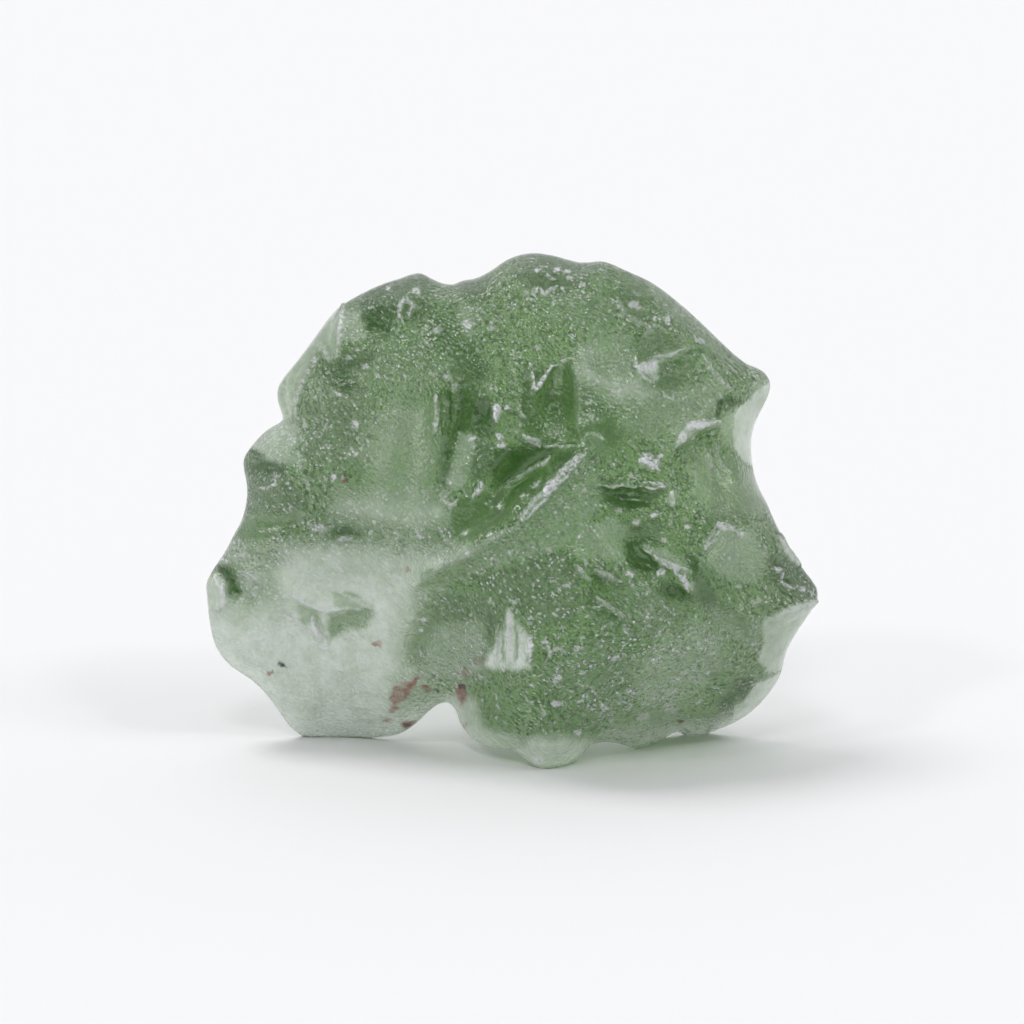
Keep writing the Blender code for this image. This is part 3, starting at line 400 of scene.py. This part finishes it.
# Bruises are whitish spots, partly crushed glass and partly painted glints and highlights:
# (u, v, half length, half width, turn, whiteness).
BRUISES_AND_GLINTS = (
    (-9.6, 20.1, 0.16, 0.12, 0, 0.9), (-7.9, 20.2, 0.15, 0.11, 0, 0.7), (-7.1, 19.7, 0.15, 0.12, 30, 0.7),
    (-8.45, 18.4, 0.25, 0.12, -30, 0.6), (-6.0, 23.6, 0.16, 0.10, 60, 0.8),
    (-4.65, 23.45, 0.18, 0.10, 40, 0.8), (-2.2, 21.8, 0.32, 0.20, 0, 0.6),
    (-3.7, 21.5, 0.25, 0.17, 30, 0.6), (2.7, 24.4, 0.20, 0.12, 0, 0.8), (1.3, 24.5, 0.24, 0.10, 20, 0.9),
    (2.2, 24.5, 0.14, 0.12, 0, 0.9), (1.1, 23.4, 0.30, 0.10, 60, 0.8), (2.45, 23.5, 0.16, 0.10, -30, 0.8),
    (3.4, 23.7, 0.18, 0.10, 40, 0.7), (5.0, 5.6, 0.20, 0.12, 20, 0.7), (3.4, 4.9, 0.16, 0.12, -30, 0.8),
    (6.9, 5.4, 0.18, 0.13, 0, 0.7), (8.1, 4.5, 0.22, 0.12, 30, 0.7), (5.6, 3.9, 0.16, 0.11, 10, 0.8),
    (3.2, 1.9, 0.24, 0.15, -20, 0.8), (9.2, 3.4, 0.24, 0.13, 30, 0.7), (1.0, 4.2, 0.18, 0.12, 0, 0.7),
    (2.8, 24.05, 0.20, 0.10, 0, 0.7), (0.9, 19.8, 0.12, 0.10, 0, 1.0), (-3.1, 19.2, 0.25, 0.14, -50, 0.5),
    (-2.8, 18.7, 0.22, 0.14, 30, 0.5), (-0.25, 17.7, 0.13, 0.11, 0, 0.9),
    (-0.75, 17.5, 0.22, 0.45, 0, 0.85), (-1.95, 16.25, 0.24, 0.10, 20, 0.8),
    (-3.05, 14.15, 0.12, 0.11, 0, 1.0), (-0.6, 16.3, 0.30, 0.16, -40, 0.8),
    (-0.5, 15.9, 0.25, 0.12, 20, 0.7), (1.0, 16.1, 0.50, 0.22, -20, 0.6), (1.75, 13.8, 0.60, 0.24, 48, 0.9),
    (-1.1, 11.6, 0.12, 0.10, 0, 1.0), (-2.2, 10.7, 0.12, 0.10, 0, 0.8), (-2.3, 11.6, 0.13, 0.10, 0, 0.8),
    (0.5, 13.5, 0.12, 0.10, 0, 0.8), (1.1, 13.9, 0.11, 0.10, 0, 0.8), (6.0, 22.7, 0.42, 0.20, -20, 0.7),
    (6.6, 19.75, 0.55, 0.32, 15, 0.75), (6.9, 22.1, 0.16, 0.10, 60, 0.8), (7.6, 22.0, 0.30, 0.10, 80, 0.6),
    (9.2, 21.0, 0.22, 0.10, -40, 0.6), (6.5, 15.25, 0.42, 0.26, 20, 1.0),
    (6.9, 14.95, 0.34, 0.20, 50, 0.95), (7.2, 15.4, 0.22, 0.14, 50, 0.8), (9.0, 16.9, 0.60, 0.26, 10, 0.8),
    (8.3, 16.3, 0.34, 0.22, 60, 0.7), (6.9, 12.5, 0.20, 0.14, 0, 0.8), (6.0, 12.15, 0.20, 0.13, 0, 0.7),
    (3.2, 11.4, 0.18, 0.12, 0, 0.7), (8.5, 11.95, 0.20, 0.13, 0, 0.7), (7.4, 11.3, 0.18, 0.13, 0, 0.7),
    (5.7, 9.65, 0.28, 0.18, 0, 0.9), (7.2, 9.7, 0.22, 0.18, 0, 0.9), (7.6, 10.1, 0.70, 0.20, -32, 0.6),
    (8.4, 9.3, 0.45, 0.16, -60, 0.8), (10.3, 12.0, 0.50, 0.20, -15, 0.6), (11.1, 11.6, 0.22, 0.14, 0, 0.7),
    (13.0, 9.85, 0.22, 0.15, 0, 0.9), (14.2, 8.9, 0.20, 0.14, 0, 0.8), (-8.7, 14.35, 0.14, 0.12, 0, 0.9),
    (-7.6, 16.85, 0.18, 0.26, 0, 0.8), (-7.6, 15.5, 0.14, 0.12, 0, 0.7),
    (-8.15, 11.35, 0.40, 0.15, 10, 0.7), (-9.2, 6.0, 0.18, 0.12, 0, 0.9), (-4.4, 6.85, 0.12, 0.11, 0, 0.8),
    (-4.35, 7.4, 0.12, 0.10, 0, 0.7), (2.2, 4.5, 0.26, 0.20, 30, 0.8), (2.2, 3.3, 0.24, 0.17, 0, 0.8),
    (4.5, 3.1, 0.24, 0.17, 0, 0.8), (6.4, 2.6, 0.42, 0.20, 10, 0.5), (7.7, 3.0, 0.36, 0.26, -20, 0.5),
    (1.3, 0.45, 0.34, 0.18, 0, 0.9), (-10.7, 7.5, 0.20, 0.12, -30, 0.5),
)
# Rust and soot are (u, v, half length, half width, turn, strength): iron stain and black grit.
RUST = (
    (-5.45, 3.80, 0.62, 0.40, 50, 0.75), (-4.85, 4.25, 0.42, 0.12, 50, 0.8),
    (-4.2, 4.05, 0.24, 0.10, -10, 0.6), (-5.8, 3.0, 0.26, 0.14, 20, 0.8),
    (-2.45, 3.75, 0.22, 0.50, 0, 0.95), (-2.3, 4.8, 0.16, 0.22, 0, 0.4), (-5.05, 2.2, 0.38, 0.16, 5, 0.95),
    (-6.2, 2.4, 0.20, 0.10, 0, 0.6), (-2.25, 2.15, 0.12, 0.10, 0, 0.7), (-1.6, 5.4, 0.35, 0.20, 20, 0.25),
    (-6.6, 6.2, 0.24, 0.12, 0, 0.7), (-5.1, 9.8, 0.13, 0.11, 0, 0.6), (-8.15, 14.15, 0.12, 0.11, 0, 0.7),
    (-11.85, 4.77, 0.13, 0.11, 0, 0.8), (8.3, 2.35, 0.11, 0.10, 0, 0.8),
)
SOOT = (
    (-11.28, 5.15, 0.22, 0.10, -38, 1.0), (-5.15, 2.12, 0.20, 0.10, 0, 0.8),
    (-2.42, 4.1, 0.16, 0.12, 0, 0.8), (-2.5, 3.45, 0.14, 0.16, 0, 0.5),
)

# Relief of the etched skin, and how far noise moves the marks drawn on it.
CUP_SIZE, CUP_DEPTH, CUP_SHARPNESS = 0.95, 0.06, 0.6
CUPS_ON_CLEAR = 0.2
HOLLOW_DEPTH = 0.16
WRINKLE_SLANT = math.radians(-38)
WRINKLE_LENGTH, WRINKLE_WIDTH, WRINKLE_HEIGHT = 1.30, 0.34, 0.115
WRINKLED_ELSEWHERE = 0.08
GRAIN_SIZE, GRAIN_HEIGHT = 0.15, 0.040
RIPPLE_FADE, RIPPLE_STEP = 0.9, 2.1
LINE_SHAKE, LINE_SHAKE_SIZE = 0.09, 0.45
PLANE_SHAKE, PLANE_SHAKE_SIZE = 0.14, 0.6
SHAKE_SHIFT = 31.7
FOOT_BLEND = 0.5
# Skin that turns away from the viewer loses the marks of the front: where that starts, over what.
RELIEF_FROM, RELIEF_OVER = -0.05, 0.35
FINISH_FROM, FINISH_OVER = -0.28, 0.36
RIM_SMOOTHING = 6
SQUARE_FULL, SQUARE_LEAST, PITTING_POWER = 0.6, 0.12, 0.6
# Edges of the white and stained marks, from soft to hard, and how ragged a stain is.
CREST_WHITE_LEFT, CREST_WHITE_RIGHT, CREST_WHITE_EDGE = 0.35, 0.90, 2.2
BRUISE_AND_GLINT_EDGE = 2.5
STAIN_SPREAD, STAIN_EDGE, STAIN_RAGGED, STAIN_RAGGED_SIZE = 1.2, 3, 0.35, 0.22
# Roughness of the glass: clear and silky on the front, etched on the back and worn on the back
# of the thin lobe. The back is uneven, with a few pitted patches.
CLEAR, SILKY, BACK_ETCHED, BACK_WORN = 0.16, 0.25, 0.65, 0.35
LOBE_RIGHT, LOBE_TOP, LOBE_BLEND = -4.5, 10.5, 2
BACK_UNEVEN, BACK_PATCH = 0.25, 2.6
PATCH_PITS, PATCH_EDGE, PATCH_SCARCE, PATCH_SHIFT = 0.6, 3, 0.95, 7.3


def face_frame(points):
    """Object coordinates in metres as u, v, w in millimetres on the leaning face."""
    x, y, z = points.T / MM
    back, up = y - FACE_ORIGIN[1], z - FACE_ORIGIN[2]
    v = back * math.sin(LEAN) + up * math.cos(LEAN)
    w = up * math.sin(LEAN) - back * math.cos(LEAN)
    return np.stack([x, v, w], axis=1)


def stroke(spots, line, left, right):
    """One on the line, falling to nothing at a distance left or right of it, thin at both ends."""
    line = np.array(line)
    inside = np.zeros(len(spots))
    reach = max(left, right)
    low, high = line.min(0) - reach, line.max(0) + reach
    near = np.flatnonzero(((spots > low) & (spots < high)).all(axis=1))
    steps = np.linalg.norm(np.diff(line, axis=0), axis=1)
    run = np.concatenate([[0], np.cumsum(steps)]) / steps.sum()
    best = np.zeros(len(near))
    for k, (start, end) in enumerate(zip(line[:-1], line[1:])):
        way = end - start
        share = np.clip(((spots[near] - start) * way).sum(1) / (way * way).sum(), 0, 1)
        off = spots[near] - start - share[:, None] * way
        away = np.linalg.norm(off, axis=1)
        along = run[k] + share * (run[k + 1] - run[k])
        width = np.where(way[0] * off[:, 1] - way[1] * off[:, 0] > 0, left, right)
        width = width * (END_SHARE + (1 - END_SHARE) * np.sqrt(np.sin(np.pi * along).clip(0, 1)))
        best = np.maximum(best, 1 - away / width)
    inside[near] = best
    return inside


def oval(spots, u, v, half_length, half_width, turn):
    """One at the middle of the oval, falling to nothing at its edge."""
    cos, sin = math.cos(math.radians(turn)), math.sin(math.radians(turn))
    along = (spots[:, 0] - u) * cos + (spots[:, 1] - v) * sin
    across = (spots[:, 1] - v) * cos - (spots[:, 0] - u) * sin
    return np.clip(1 - (along / half_length) ** 2 - (across / half_width) ** 2, 0, 1)


def ripples(points, octaves):
    """Rolling noise about nothing, with finer and fainter layers."""
    return np.array([noise.fractal(point, RIPPLE_FADE, RIPPLE_STEP, octaves) for point in points])


def shaken(spots, amount, size):
    """Spots moved a little by noise, so that what is drawn on them gets a natural outline."""
    flat = np.column_stack([spots, np.zeros(len(spots))]) / size
    across, up = ripples(flat, 2), ripples(flat + SHAKE_SHIFT, 2)
    return spots + amount * np.column_stack([across, up])


def within(spots, outline, blur):
    """One inside the outline and nothing outside it, blending over the blur."""
    outline = np.array(outline)
    cover = np.zeros(len(spots))
    low, high = outline.min(0) - blur, outline.max(0) + blur
    near = np.flatnonzero(((spots > low) & (spots < high)).all(axis=1))
    away = np.full(len(near), np.inf)
    inside = np.zeros(len(near), dtype=bool)
    for start, end in zip(outline, np.roll(outline, -1, axis=0)):
        to, way = spots[near] - start, end - start
        share = np.clip((to * way).sum(1) / (way * way).sum(), 0, 1)
        away = np.minimum(away, np.linalg.norm(to - share[:, None] * way, axis=1))
        crossed = (start[1] > spots[near, 1]) != (end[1] > spots[near, 1])
        left = way[0] * to[:, 1] - way[1] * to[:, 0] > 0
        inside ^= crossed & (left == (way[1] > 0))
    cover[near] = np.clip(0.5 + np.where(inside, away, -away) / blur, 0, 1)
    return cover


def finish_of(spots):
    """Milk, pits and depth of the planes of the front face; the depth also sets the painted shade."""
    milk = np.full(len(spots), OPEN_MILK)
    pits = np.full(len(spots), OPEN_PITS)
    depth_and_shade = np.zeros(len(spots))
    for outline, plane_milk, plane_pits, plane_depth_and_shade, blur in PLANES:
        cover = within(spots, outline, blur)
        milk += cover * (plane_milk - milk)
        pits += cover * (plane_pits - pits)
        depth_and_shade += cover * (plane_depth_and_shade - depth_and_shade)
    return milk, pits, depth_and_shade


def whitish(spots):
    """How white the skin is on the front face, from clear at 0 to white at 1: bruised glass and painted
    highlights.
    """
    white = np.zeros(len(spots))
    for line, half_width, _, whiteness in CRESTS:
        inside = stroke(spots, line, CREST_WHITE_LEFT * half_width, CREST_WHITE_RIGHT * half_width)
        white = np.maximum(white, whiteness * np.clip(CREST_WHITE_EDGE * inside, 0, 1))
    for u, v, half_length, half_width, turn, whiteness in BRUISES_AND_GLINTS:
        inside = oval(spots, u, v, half_length, half_width, turn)
        white = np.maximum(white, whiteness * np.clip(BRUISE_AND_GLINT_EDGE * inside, 0, 1))
    return white


def stained(spots, marks):
    """How strongly any of the marks covers each spot, with ragged edges."""
    ragged = ripples(np.column_stack([spots, np.zeros(len(spots))]) / STAIN_RAGGED_SIZE, 2)
    cover = np.zeros(len(spots))
    for u, v, half_length, half_width, turn, strength in marks:
        inside = oval(spots, u, v, STAIN_SPREAD * half_length, STAIN_SPREAD * half_width, turn)
        edge = inside + STAIN_RAGGED * ragged * (inside > 0)
        cover = np.maximum(cover, strength * np.clip(STAIN_EDGE * edge, 0, 1))
    return cover


def cups(points):
    """Small etched cups that meet in sharp crests, as a depth of nothing to one."""
    deep = np.empty(len(points))
    for k, point in enumerate(points / CUP_SIZE):
        near = noise.voronoi(point)[0]
        deep[k] = near[1] - near[0]
    return np.clip(deep / CUP_SHARPNESS, 0, 1)


def wrinkles(uvw):
    """Long narrow wrinkles that run down to the right."""
    cos, sin = math.cos(WRINKLE_SLANT), math.sin(WRINKLE_SLANT)
    along = (uvw[:, 0] * cos + uvw[:, 1] * sin) / WRINKLE_LENGTH
    across = (uvw[:, 1] * cos - uvw[:, 0] * sin) / WRINKLE_WIDTH
    return ripples(np.stack([along, across, uvw[:, 2] / WRINKLE_LENGTH], axis=1), 3)


def skin_of(piece):
    """Where each point of the skin is, in metres, and which way it faces."""
    count = len(piece.data.vertices)
    place, skin = np.empty(3 * count), np.empty(3 * count)
    piece.data.vertices.foreach_get("co", place)
    piece.data.vertex_normals.foreach_get("vector", skin)
    return place.reshape(-1, 3), skin.reshape(-1, 3)


def squareness(skin):
    """One where the skin faces the viewer, and little where it is seen edge on."""
    return np.clip(np.abs(skin @ toward_viewer) / SQUARE_FULL, SQUARE_LEAST, 1)


def smoothed(piece, values, rounds):
    """Values on the points of the skin, averaged over their neighbours again and again."""
    count = len(values)
    ends = np.empty(2 * len(piece.data.edges), dtype=np.int32)
    piece.data.edges.foreach_get("vertices", ends)
    start, end = ends.reshape(-1, 2).T
    neighbours = np.bincount(ends, minlength=count)
    for _ in range(rounds):
        total = np.bincount(start, values[end], count) + np.bincount(end, values[start], count)
        values = total / neighbours
    return values


def thin_out(piece, group, ratio):
    """Fewer and larger triangles, in one vertex group or all over."""
    fewer = piece.modifiers.new("thin_out", "DECIMATE")
    fewer.vertex_group = group
    fewer.ratio = ratio
    fewer.use_collapse_triangulate = True
    bpy.ops.object.modifier_apply(modifier=fewer.name)


plain_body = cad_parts["moldavite"]
bpy.ops.object.select_all(action="DESELECT")
plain_body.select_set(True)
bpy.context.view_layer.objects.active = plain_body
bpy.ops.object.duplicate()
stone = bpy.context.object
stone.name = "moldavite_stone"
bpy.ops.object.mode_set(mode="EDIT")
bpy.ops.mesh.select_all(action="SELECT")
bpy.ops.mesh.remove_doubles(threshold=MERGE_DISTANCE)
bpy.ops.mesh.select_mode(type="EDGE")
bpy.ops.mesh.select_all(action="DESELECT")
bpy.ops.object.mode_set(mode="OBJECT")
for edge in stone.data.edges:
    edge.select = all(stone.data.vertices[k].co.z < FEET_BELOW for k in edge.vertices)
bpy.ops.object.mode_set(mode="EDIT")
bpy.ops.transform.edge_crease(value=1)
bpy.ops.object.mode_set(mode="OBJECT")
soften = stone.modifiers.new("soften", "SUBSURF")
soften.levels = soften.render_levels = 2
bpy.ops.object.modifier_apply(modifier=soften.name)

# The face that shows is cut finely.
bpy.ops.object.mode_set(mode="EDIT")
bpy.ops.mesh.select_mode(type="FACE")
bpy.ops.mesh.select_all(action="DESELECT")
bpy.ops.object.mode_set(mode="OBJECT")
facing = np.empty(3 * len(stone.data.polygons))
stone.data.polygons.foreach_get("normal", facing)
shown = facing.reshape(-1, 3) @ toward_viewer > SHOWN_ABOVE
stone.data.polygons.foreach_set("select", shown)
bpy.ops.object.mode_set(mode="EDIT")
bpy.ops.mesh.subdivide(number_cuts=1, ngon=False)
bpy.ops.object.mode_set(mode="OBJECT")

# The relief is pressed into the skin, and left off the flat spots that the stone stands on.
place, skin = skin_of(stone)
uvw = face_frame(place)
spots = uvw[:, :2]
front = np.clip((skin @ toward_viewer - RELIEF_FROM) / RELIEF_OVER, 0, 1)
drawn = shaken(spots, LINE_SHAKE, LINE_SHAKE_SIZE)
square_on = squareness(skin)
_, pits, depth_and_shade = finish_of(shaken(spots, PLANE_SHAKE, PLANE_SHAKE_SIZE))
pits = (OPEN_PITS + front * (pits - OPEN_PITS)) * square_on
wrinkled = np.full(len(spots), WRINKLED_ELSEWHERE)
for u, v, half_length, half_width, turn in WRINKLED:
    wrinkled = np.maximum(wrinkled, oval(spots, u, v, half_length, half_width, turn) ** 0.5)
relief = -CUP_DEPTH * (1 - cups(uvw)) * square_on * (CUPS_ON_CLEAR + (1 - CUPS_ON_CLEAR) * pits)
relief += pits * (WRINKLE_HEIGHT * wrinkled * wrinkles(uvw) + GRAIN_HEIGHT * ripples(uvw / GRAIN_SIZE, 1))
relief -= front * HOLLOW_DEPTH * depth_and_shade
for line, half_width, height, _ in CRESTS:
    rise = stroke(drawn, line, STEEP_SHARE * half_width, GENTLE_SHARE * half_width)
    relief += front * height * rise
for line, half_width, deep in GROOVES:
    relief -= front * deep * stroke(drawn, line, half_width, half_width)
for u, v, half_length, half_width, turn, deep in DISHES:
    relief -= front * deep * oval(drawn, u, v, half_length, half_width, turn)
standing = np.clip(place[:, 2] / (FOOT_BLEND * MM), 0, 1)
place += skin * (relief * standing * MM)[:, None]
place[:, 2] = place[:, 2].clip(0)
stone.data.vertices.foreach_set("co", place.ravel())
stone.data.update()

# The far side keeps larger triangles than the face that shows.
faces = stone.data.polygons
whole = sum(len(face.vertices) - 2 for face in faces)
far = np.flatnonzero(front < FAR_BELOW).tolist()
far_side = stone.vertex_groups.new(name="far_side")
far_side.add(far, 1.0, "REPLACE")
hidden = set(far)
far_triangles = sum(len(face.vertices) - 2 for face in faces if face.vertices[0] in hidden)
thin_out(stone, far_side.name, 1 - (far_triangles - FAR_SIDE_TRIANGLES) / whole)
thin_out(stone, "", TRIANGLES / len(stone.data.polygons))
stone.vertex_groups.clear()
bpy.ops.object.shade_smooth()

# The finish is kept on the points of the skin, as masks that the glass reads.
place, skin = skin_of(stone)
front = np.clip((skin @ toward_viewer - FINISH_FROM) / FINISH_OVER, 0, 1)
front = smoothed(stone, front, RIM_SMOOTHING)
uvw = face_frame(place)
spots = uvw[:, :2]
drawn = shaken(spots, LINE_SHAKE, LINE_SHAKE_SIZE)
square_on = squareness(skin)
milk, pits, depth_and_shade = finish_of(shaken(spots, PLANE_SHAKE, PLANE_SHAKE_SIZE))
left_of_edge = np.clip((LOBE_RIGHT - spots[:, 0]) / LOBE_BLEND, 0, 1)
thin_lobe = left_of_edge * np.clip((LOBE_TOP - spots[:, 1]) / LOBE_BLEND, 0, 1)
behind = BACK_ETCHED + thin_lobe * (BACK_WORN - BACK_ETCHED)
behind += BACK_UNEVEN * ripples(uvw / BACK_PATCH, 3)
patches = PATCH_EDGE * ripples(uvw / BACK_PATCH + PATCH_SHIFT, 4) - PATCH_SCARCE
patches = PATCH_PITS * np.clip(patches, 0, 1)
MASKS = (
    ("milk", milk * front),
    ("pits", patches + front * (pits - patches)),
    ("pitting", (OPEN_PITS + front * (pits - OPEN_PITS)) * square_on ** PITTING_POWER),
    ("etching", behind + front * (CLEAR + (SILKY - CLEAR) * pits - behind)),
    ("depth_and_shade", depth_and_shade * front),
    ("bruise_and_highlight", whitish(drawn) * front),
    ("rust", stained(drawn, RUST) * front),
    ("soot", stained(drawn, SOOT) * front),
)
for name, values in MASKS:
    mask = stone.data.attributes.new(name, "FLOAT", "POINT")
    mask.data.foreach_set("value", values)

# Green glass: clear bottle-green glass whose skin is silky with fine slanting pits. The masks say
# where the skin is milky, pitted or etched, where it is pressed in and painted dark green as shade,
# where it is white from bruises and painted highlights, and where it is rusty or sooty. Painted glints
# and painted pit shade are laid over the pits.
GLASS_IOR = 1.49
GLASS_TINT = (0.65, 0.865, 0.37, 1)
GLASS_DENSITY = 178
# Lilac-white for the painted glints, and for bruised crests and spots with their painted highlights.
GLINT_AND_BRUISE_WHITE = (0.88, 0.86, 0.93, 1)
RUST_COLOUR = (0.28, 0.08, 0.045, 1)
# Dark green painted shade, laid into the colour where the planes are deep and in the pits.
PAINTED_SHADE_GREEN = (0.08, 0.165, 0.055, 1)
MILK_COLOUR = (0.80, 0.87, 0.79, 1)
SOOT_COLOUR = (0.03, 0.02, 0.02, 1)
# Painted glints: how bright the painted white specks and flakes on the pits may get.
GLINT_SPECK_MOST = 0.70
GLINT_FLAKE_MOST = 0.45
# Painted pit shade: how dark the painted flecks in the pits may get.
PIT_SHADOW = 0.65
PIT_CELLS = 6000
SLANT = (0, math.radians(38), 0)
SPECK_STRETCH = (1.35, 1, 1)
GRIT_IN_GLINT_SPECKS = 1.4
PIT_BUMP = 0.20 * MM
CELLS_IN_BUMP = 0.9
BUMP_LEAST, BUMP_MOST = 0.05, 0.9
NOISE_ROUGHNESS = 0.6
NEARLY_NOTHING = 0.0001
COAT, COAT_ROUGHNESS = 0.5, 0.14

glass = bpy.data.materials.new("etched_green_glass")
glass.use_nodes = True
nodes, links = glass.node_tree.nodes, glass.node_tree.links
shader = nodes["Principled BSDF"]
shader.inputs["IOR"].default_value = GLASS_IOR
shader.inputs["Transmission Weight"].default_value = 1.0
body = nodes.new("ShaderNodeVolumeAbsorption")
body.inputs["Color"].default_value = GLASS_TINT
body.inputs["Density"].default_value = GLASS_DENSITY
links.new(body.outputs["Volume"], nodes["Material Output"].inputs["Volume"])
coordinates = nodes.new("ShaderNodeTexCoord")
slant = nodes.new("ShaderNodeMapping")
slant.vector_type = "TEXTURE"
slant.inputs["Rotation"].default_value = SLANT
slant.inputs["Scale"].default_value = SPECK_STRETCH
object_space = coordinates.outputs["Object"]
slanted = slant.outputs["Vector"]
links.new(object_space, slant.inputs["Vector"])


def mask_of(name):
    """The named mask of the stone's skin."""
    found = nodes.new("ShaderNodeAttribute")
    found.attribute_name = name
    return found.outputs["Fac"]


def grain_of(vector, scale, detail, low, high, least, most):
    """Noise on the vector, stretched from low..high to least..most."""
    grain = nodes.new("ShaderNodeTexNoise")
    grain.inputs["Scale"].default_value = scale
    grain.inputs["Detail"].default_value = detail
    grain.inputs["Roughness"].default_value = NOISE_ROUGHNESS
    links.new(vector, grain.inputs["Vector"])
    return ranged(grain.outputs["Fac"], low, high, least, most)


def ranged(value, low, high, least, most):
    """The value stretched from low..high to least..most, and held there."""
    stretch = nodes.new("ShaderNodeMapRange")
    stretch.inputs["From Min"].default_value = low
    stretch.inputs["From Max"].default_value = high
    stretch.inputs["To Min"].default_value = least
    stretch.inputs["To Max"].default_value = most
    links.new(value, stretch.inputs["Value"])
    return stretch.outputs["Result"]


def worked(operation, first, second):
    """Two values added, multiplied or compared."""
    step = nodes.new("ShaderNodeMath")
    step.operation = operation
    for socket, value in zip(step.inputs, (first, second)):
        if isinstance(value, float):
            socket.default_value = value
        else:
            links.new(value, socket)
    return step.outputs["Value"]


def blended(amount, first, second):
    """Colour that goes from first to second by the amount."""
    blend = nodes.new("ShaderNodeMix")
    blend.data_type = "RGBA"
    sockets = [socket for socket in blend.inputs if socket.type == "RGBA"]
    links.new(amount, blend.inputs["Factor"])
    for socket, colour in zip(sockets, (first, second)):
        if isinstance(colour, tuple):
            socket.default_value = colour
        else:
            links.new(colour, socket)
    return next(socket for socket in blend.outputs if socket.type == "RGBA")


def laid(under, amount, colour):
    """A layer of one colour over what is under it, as (how much it hides, colour)."""
    hidden, first = under
    both = worked("ADD", amount, worked("MULTIPLY", hidden, worked("SUBTRACT", 1.0, amount)))
    share = worked("DIVIDE", amount, worked("MAXIMUM", both, NEARLY_NOTHING))
    return both, blended(share, first, colour)


milk, pits, pitting, etching, depth_and_shade, bruise_and_highlight, rust, soot = (mask_of(name) for name, _ in MASKS)
cells = nodes.new("ShaderNodeTexVoronoi")
cells.inputs["Scale"].default_value = PIT_CELLS
links.new(slanted, cells.inputs["Vector"])
chance = nodes.new("ShaderNodeSeparateColor")
links.new(cells.outputs["Color"], chance.inputs["Color"])
grit = grain_of(slanted, scale=4500, detail=2, low=0, high=1, least=0, most=1)
ragged = worked("ADD", cells.outputs["Distance"], worked("MULTIPLY", grit, GRIT_IN_GLINT_SPECKS))
# Painted glints: white specks in the cells and flakes in the noise, laid into the colour over the pits.
brightness = ranged(chance.outputs["Red"], low=0.35, high=0.85, least=0, most=GLINT_SPECK_MOST)
glint_specks = worked("MULTIPLY", brightness, ranged(ragged, low=1.16, high=0.92, least=0, most=1))
glint_flakes = grain_of(slanted, scale=2400, detail=3, low=0.61, high=0.67, least=0, most=GLINT_FLAKE_MOST)
clouds = grain_of(object_space, scale=620, detail=3, low=0.38, high=0.58, least=0.15, most=1)
thin_and_thick = grain_of(object_space, scale=1100, detail=4, low=0.30, high=0.66, least=0.78, most=1.18)
haze = worked("MULTIPLY", milk, thin_and_thick)
painted_glints = worked("MULTIPLY", worked("MAXIMUM", worked("MULTIPLY", glint_specks, clouds), glint_flakes), pits)
splinters = grain_of(object_space, scale=5200, detail=3, low=0.38, high=0.56, least=0.30, most=1)
# White crests and bruises: partly crushed glass, partly painted highlights and glints.
crushed_and_highlit = worked("MULTIPLY", bruise_and_highlight, splinters)
# Painted pit shade: dark green flecks at the low ends of the pit noise, under the clouds.
pit_shade_flecks = grain_of(slanted, scale=5000, detail=2, low=0.47, high=0.36, least=0, most=PIT_SHADOW)
painted_pit_shade = worked("MULTIPLY", clouds, pit_shade_flecks)
blotches = grain_of(object_space, scale=3000, detail=3, low=0.36, high=0.58, least=0.35, most=1)
stain = worked("MULTIPLY", rust, blotches)
# Painted shade first: dark green where the planes are deep, then painted pit shade over the pits.
layers = laid((depth_and_shade, PAINTED_SHADE_GREEN), worked("MULTIPLY", painted_pit_shade, pits), PAINTED_SHADE_GREEN)
for amount, colour in ((haze, MILK_COLOUR), (painted_glints, GLINT_AND_BRUISE_WHITE), (crushed_and_highlit, GLINT_AND_BRUISE_WHITE),
                       (stain, RUST_COLOUR), (soot, SOOT_COLOUR)):
    layers = laid(layers, amount, colour)
matt, colour = layers
links.new(worked("SUBTRACT", 1.0, matt), shader.inputs["Transmission Weight"])
links.new(colour, shader.inputs["Base Color"])
links.new(etching, shader.inputs["Roughness"])

pitted = nodes.new("ShaderNodeBump")
pitted.inputs["Distance"].default_value = PIT_BUMP
height = worked("ADD", grit, worked("MULTIPLY", cells.outputs["Distance"], CELLS_IN_BUMP))
links.new(height, pitted.inputs["Height"])
strength = ranged(pitting, low=0, high=1, least=BUMP_LEAST, most=BUMP_MOST)
links.new(strength, pitted.inputs["Strength"])
links.new(pitted.outputs["Normal"], shader.inputs["Normal"])
links.new(pitted.outputs["Normal"], shader.inputs["Coat Normal"])
shader.inputs["Coat Weight"].default_value = COAT
shader.inputs["Coat Roughness"].default_value = COAT_ROUGHNESS
shader.inputs["Coat IOR"].default_value = GLASS_IOR

stone.data.materials.clear()
stone.data.materials.append(glass)
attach(stone, "root")
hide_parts("moldavite")
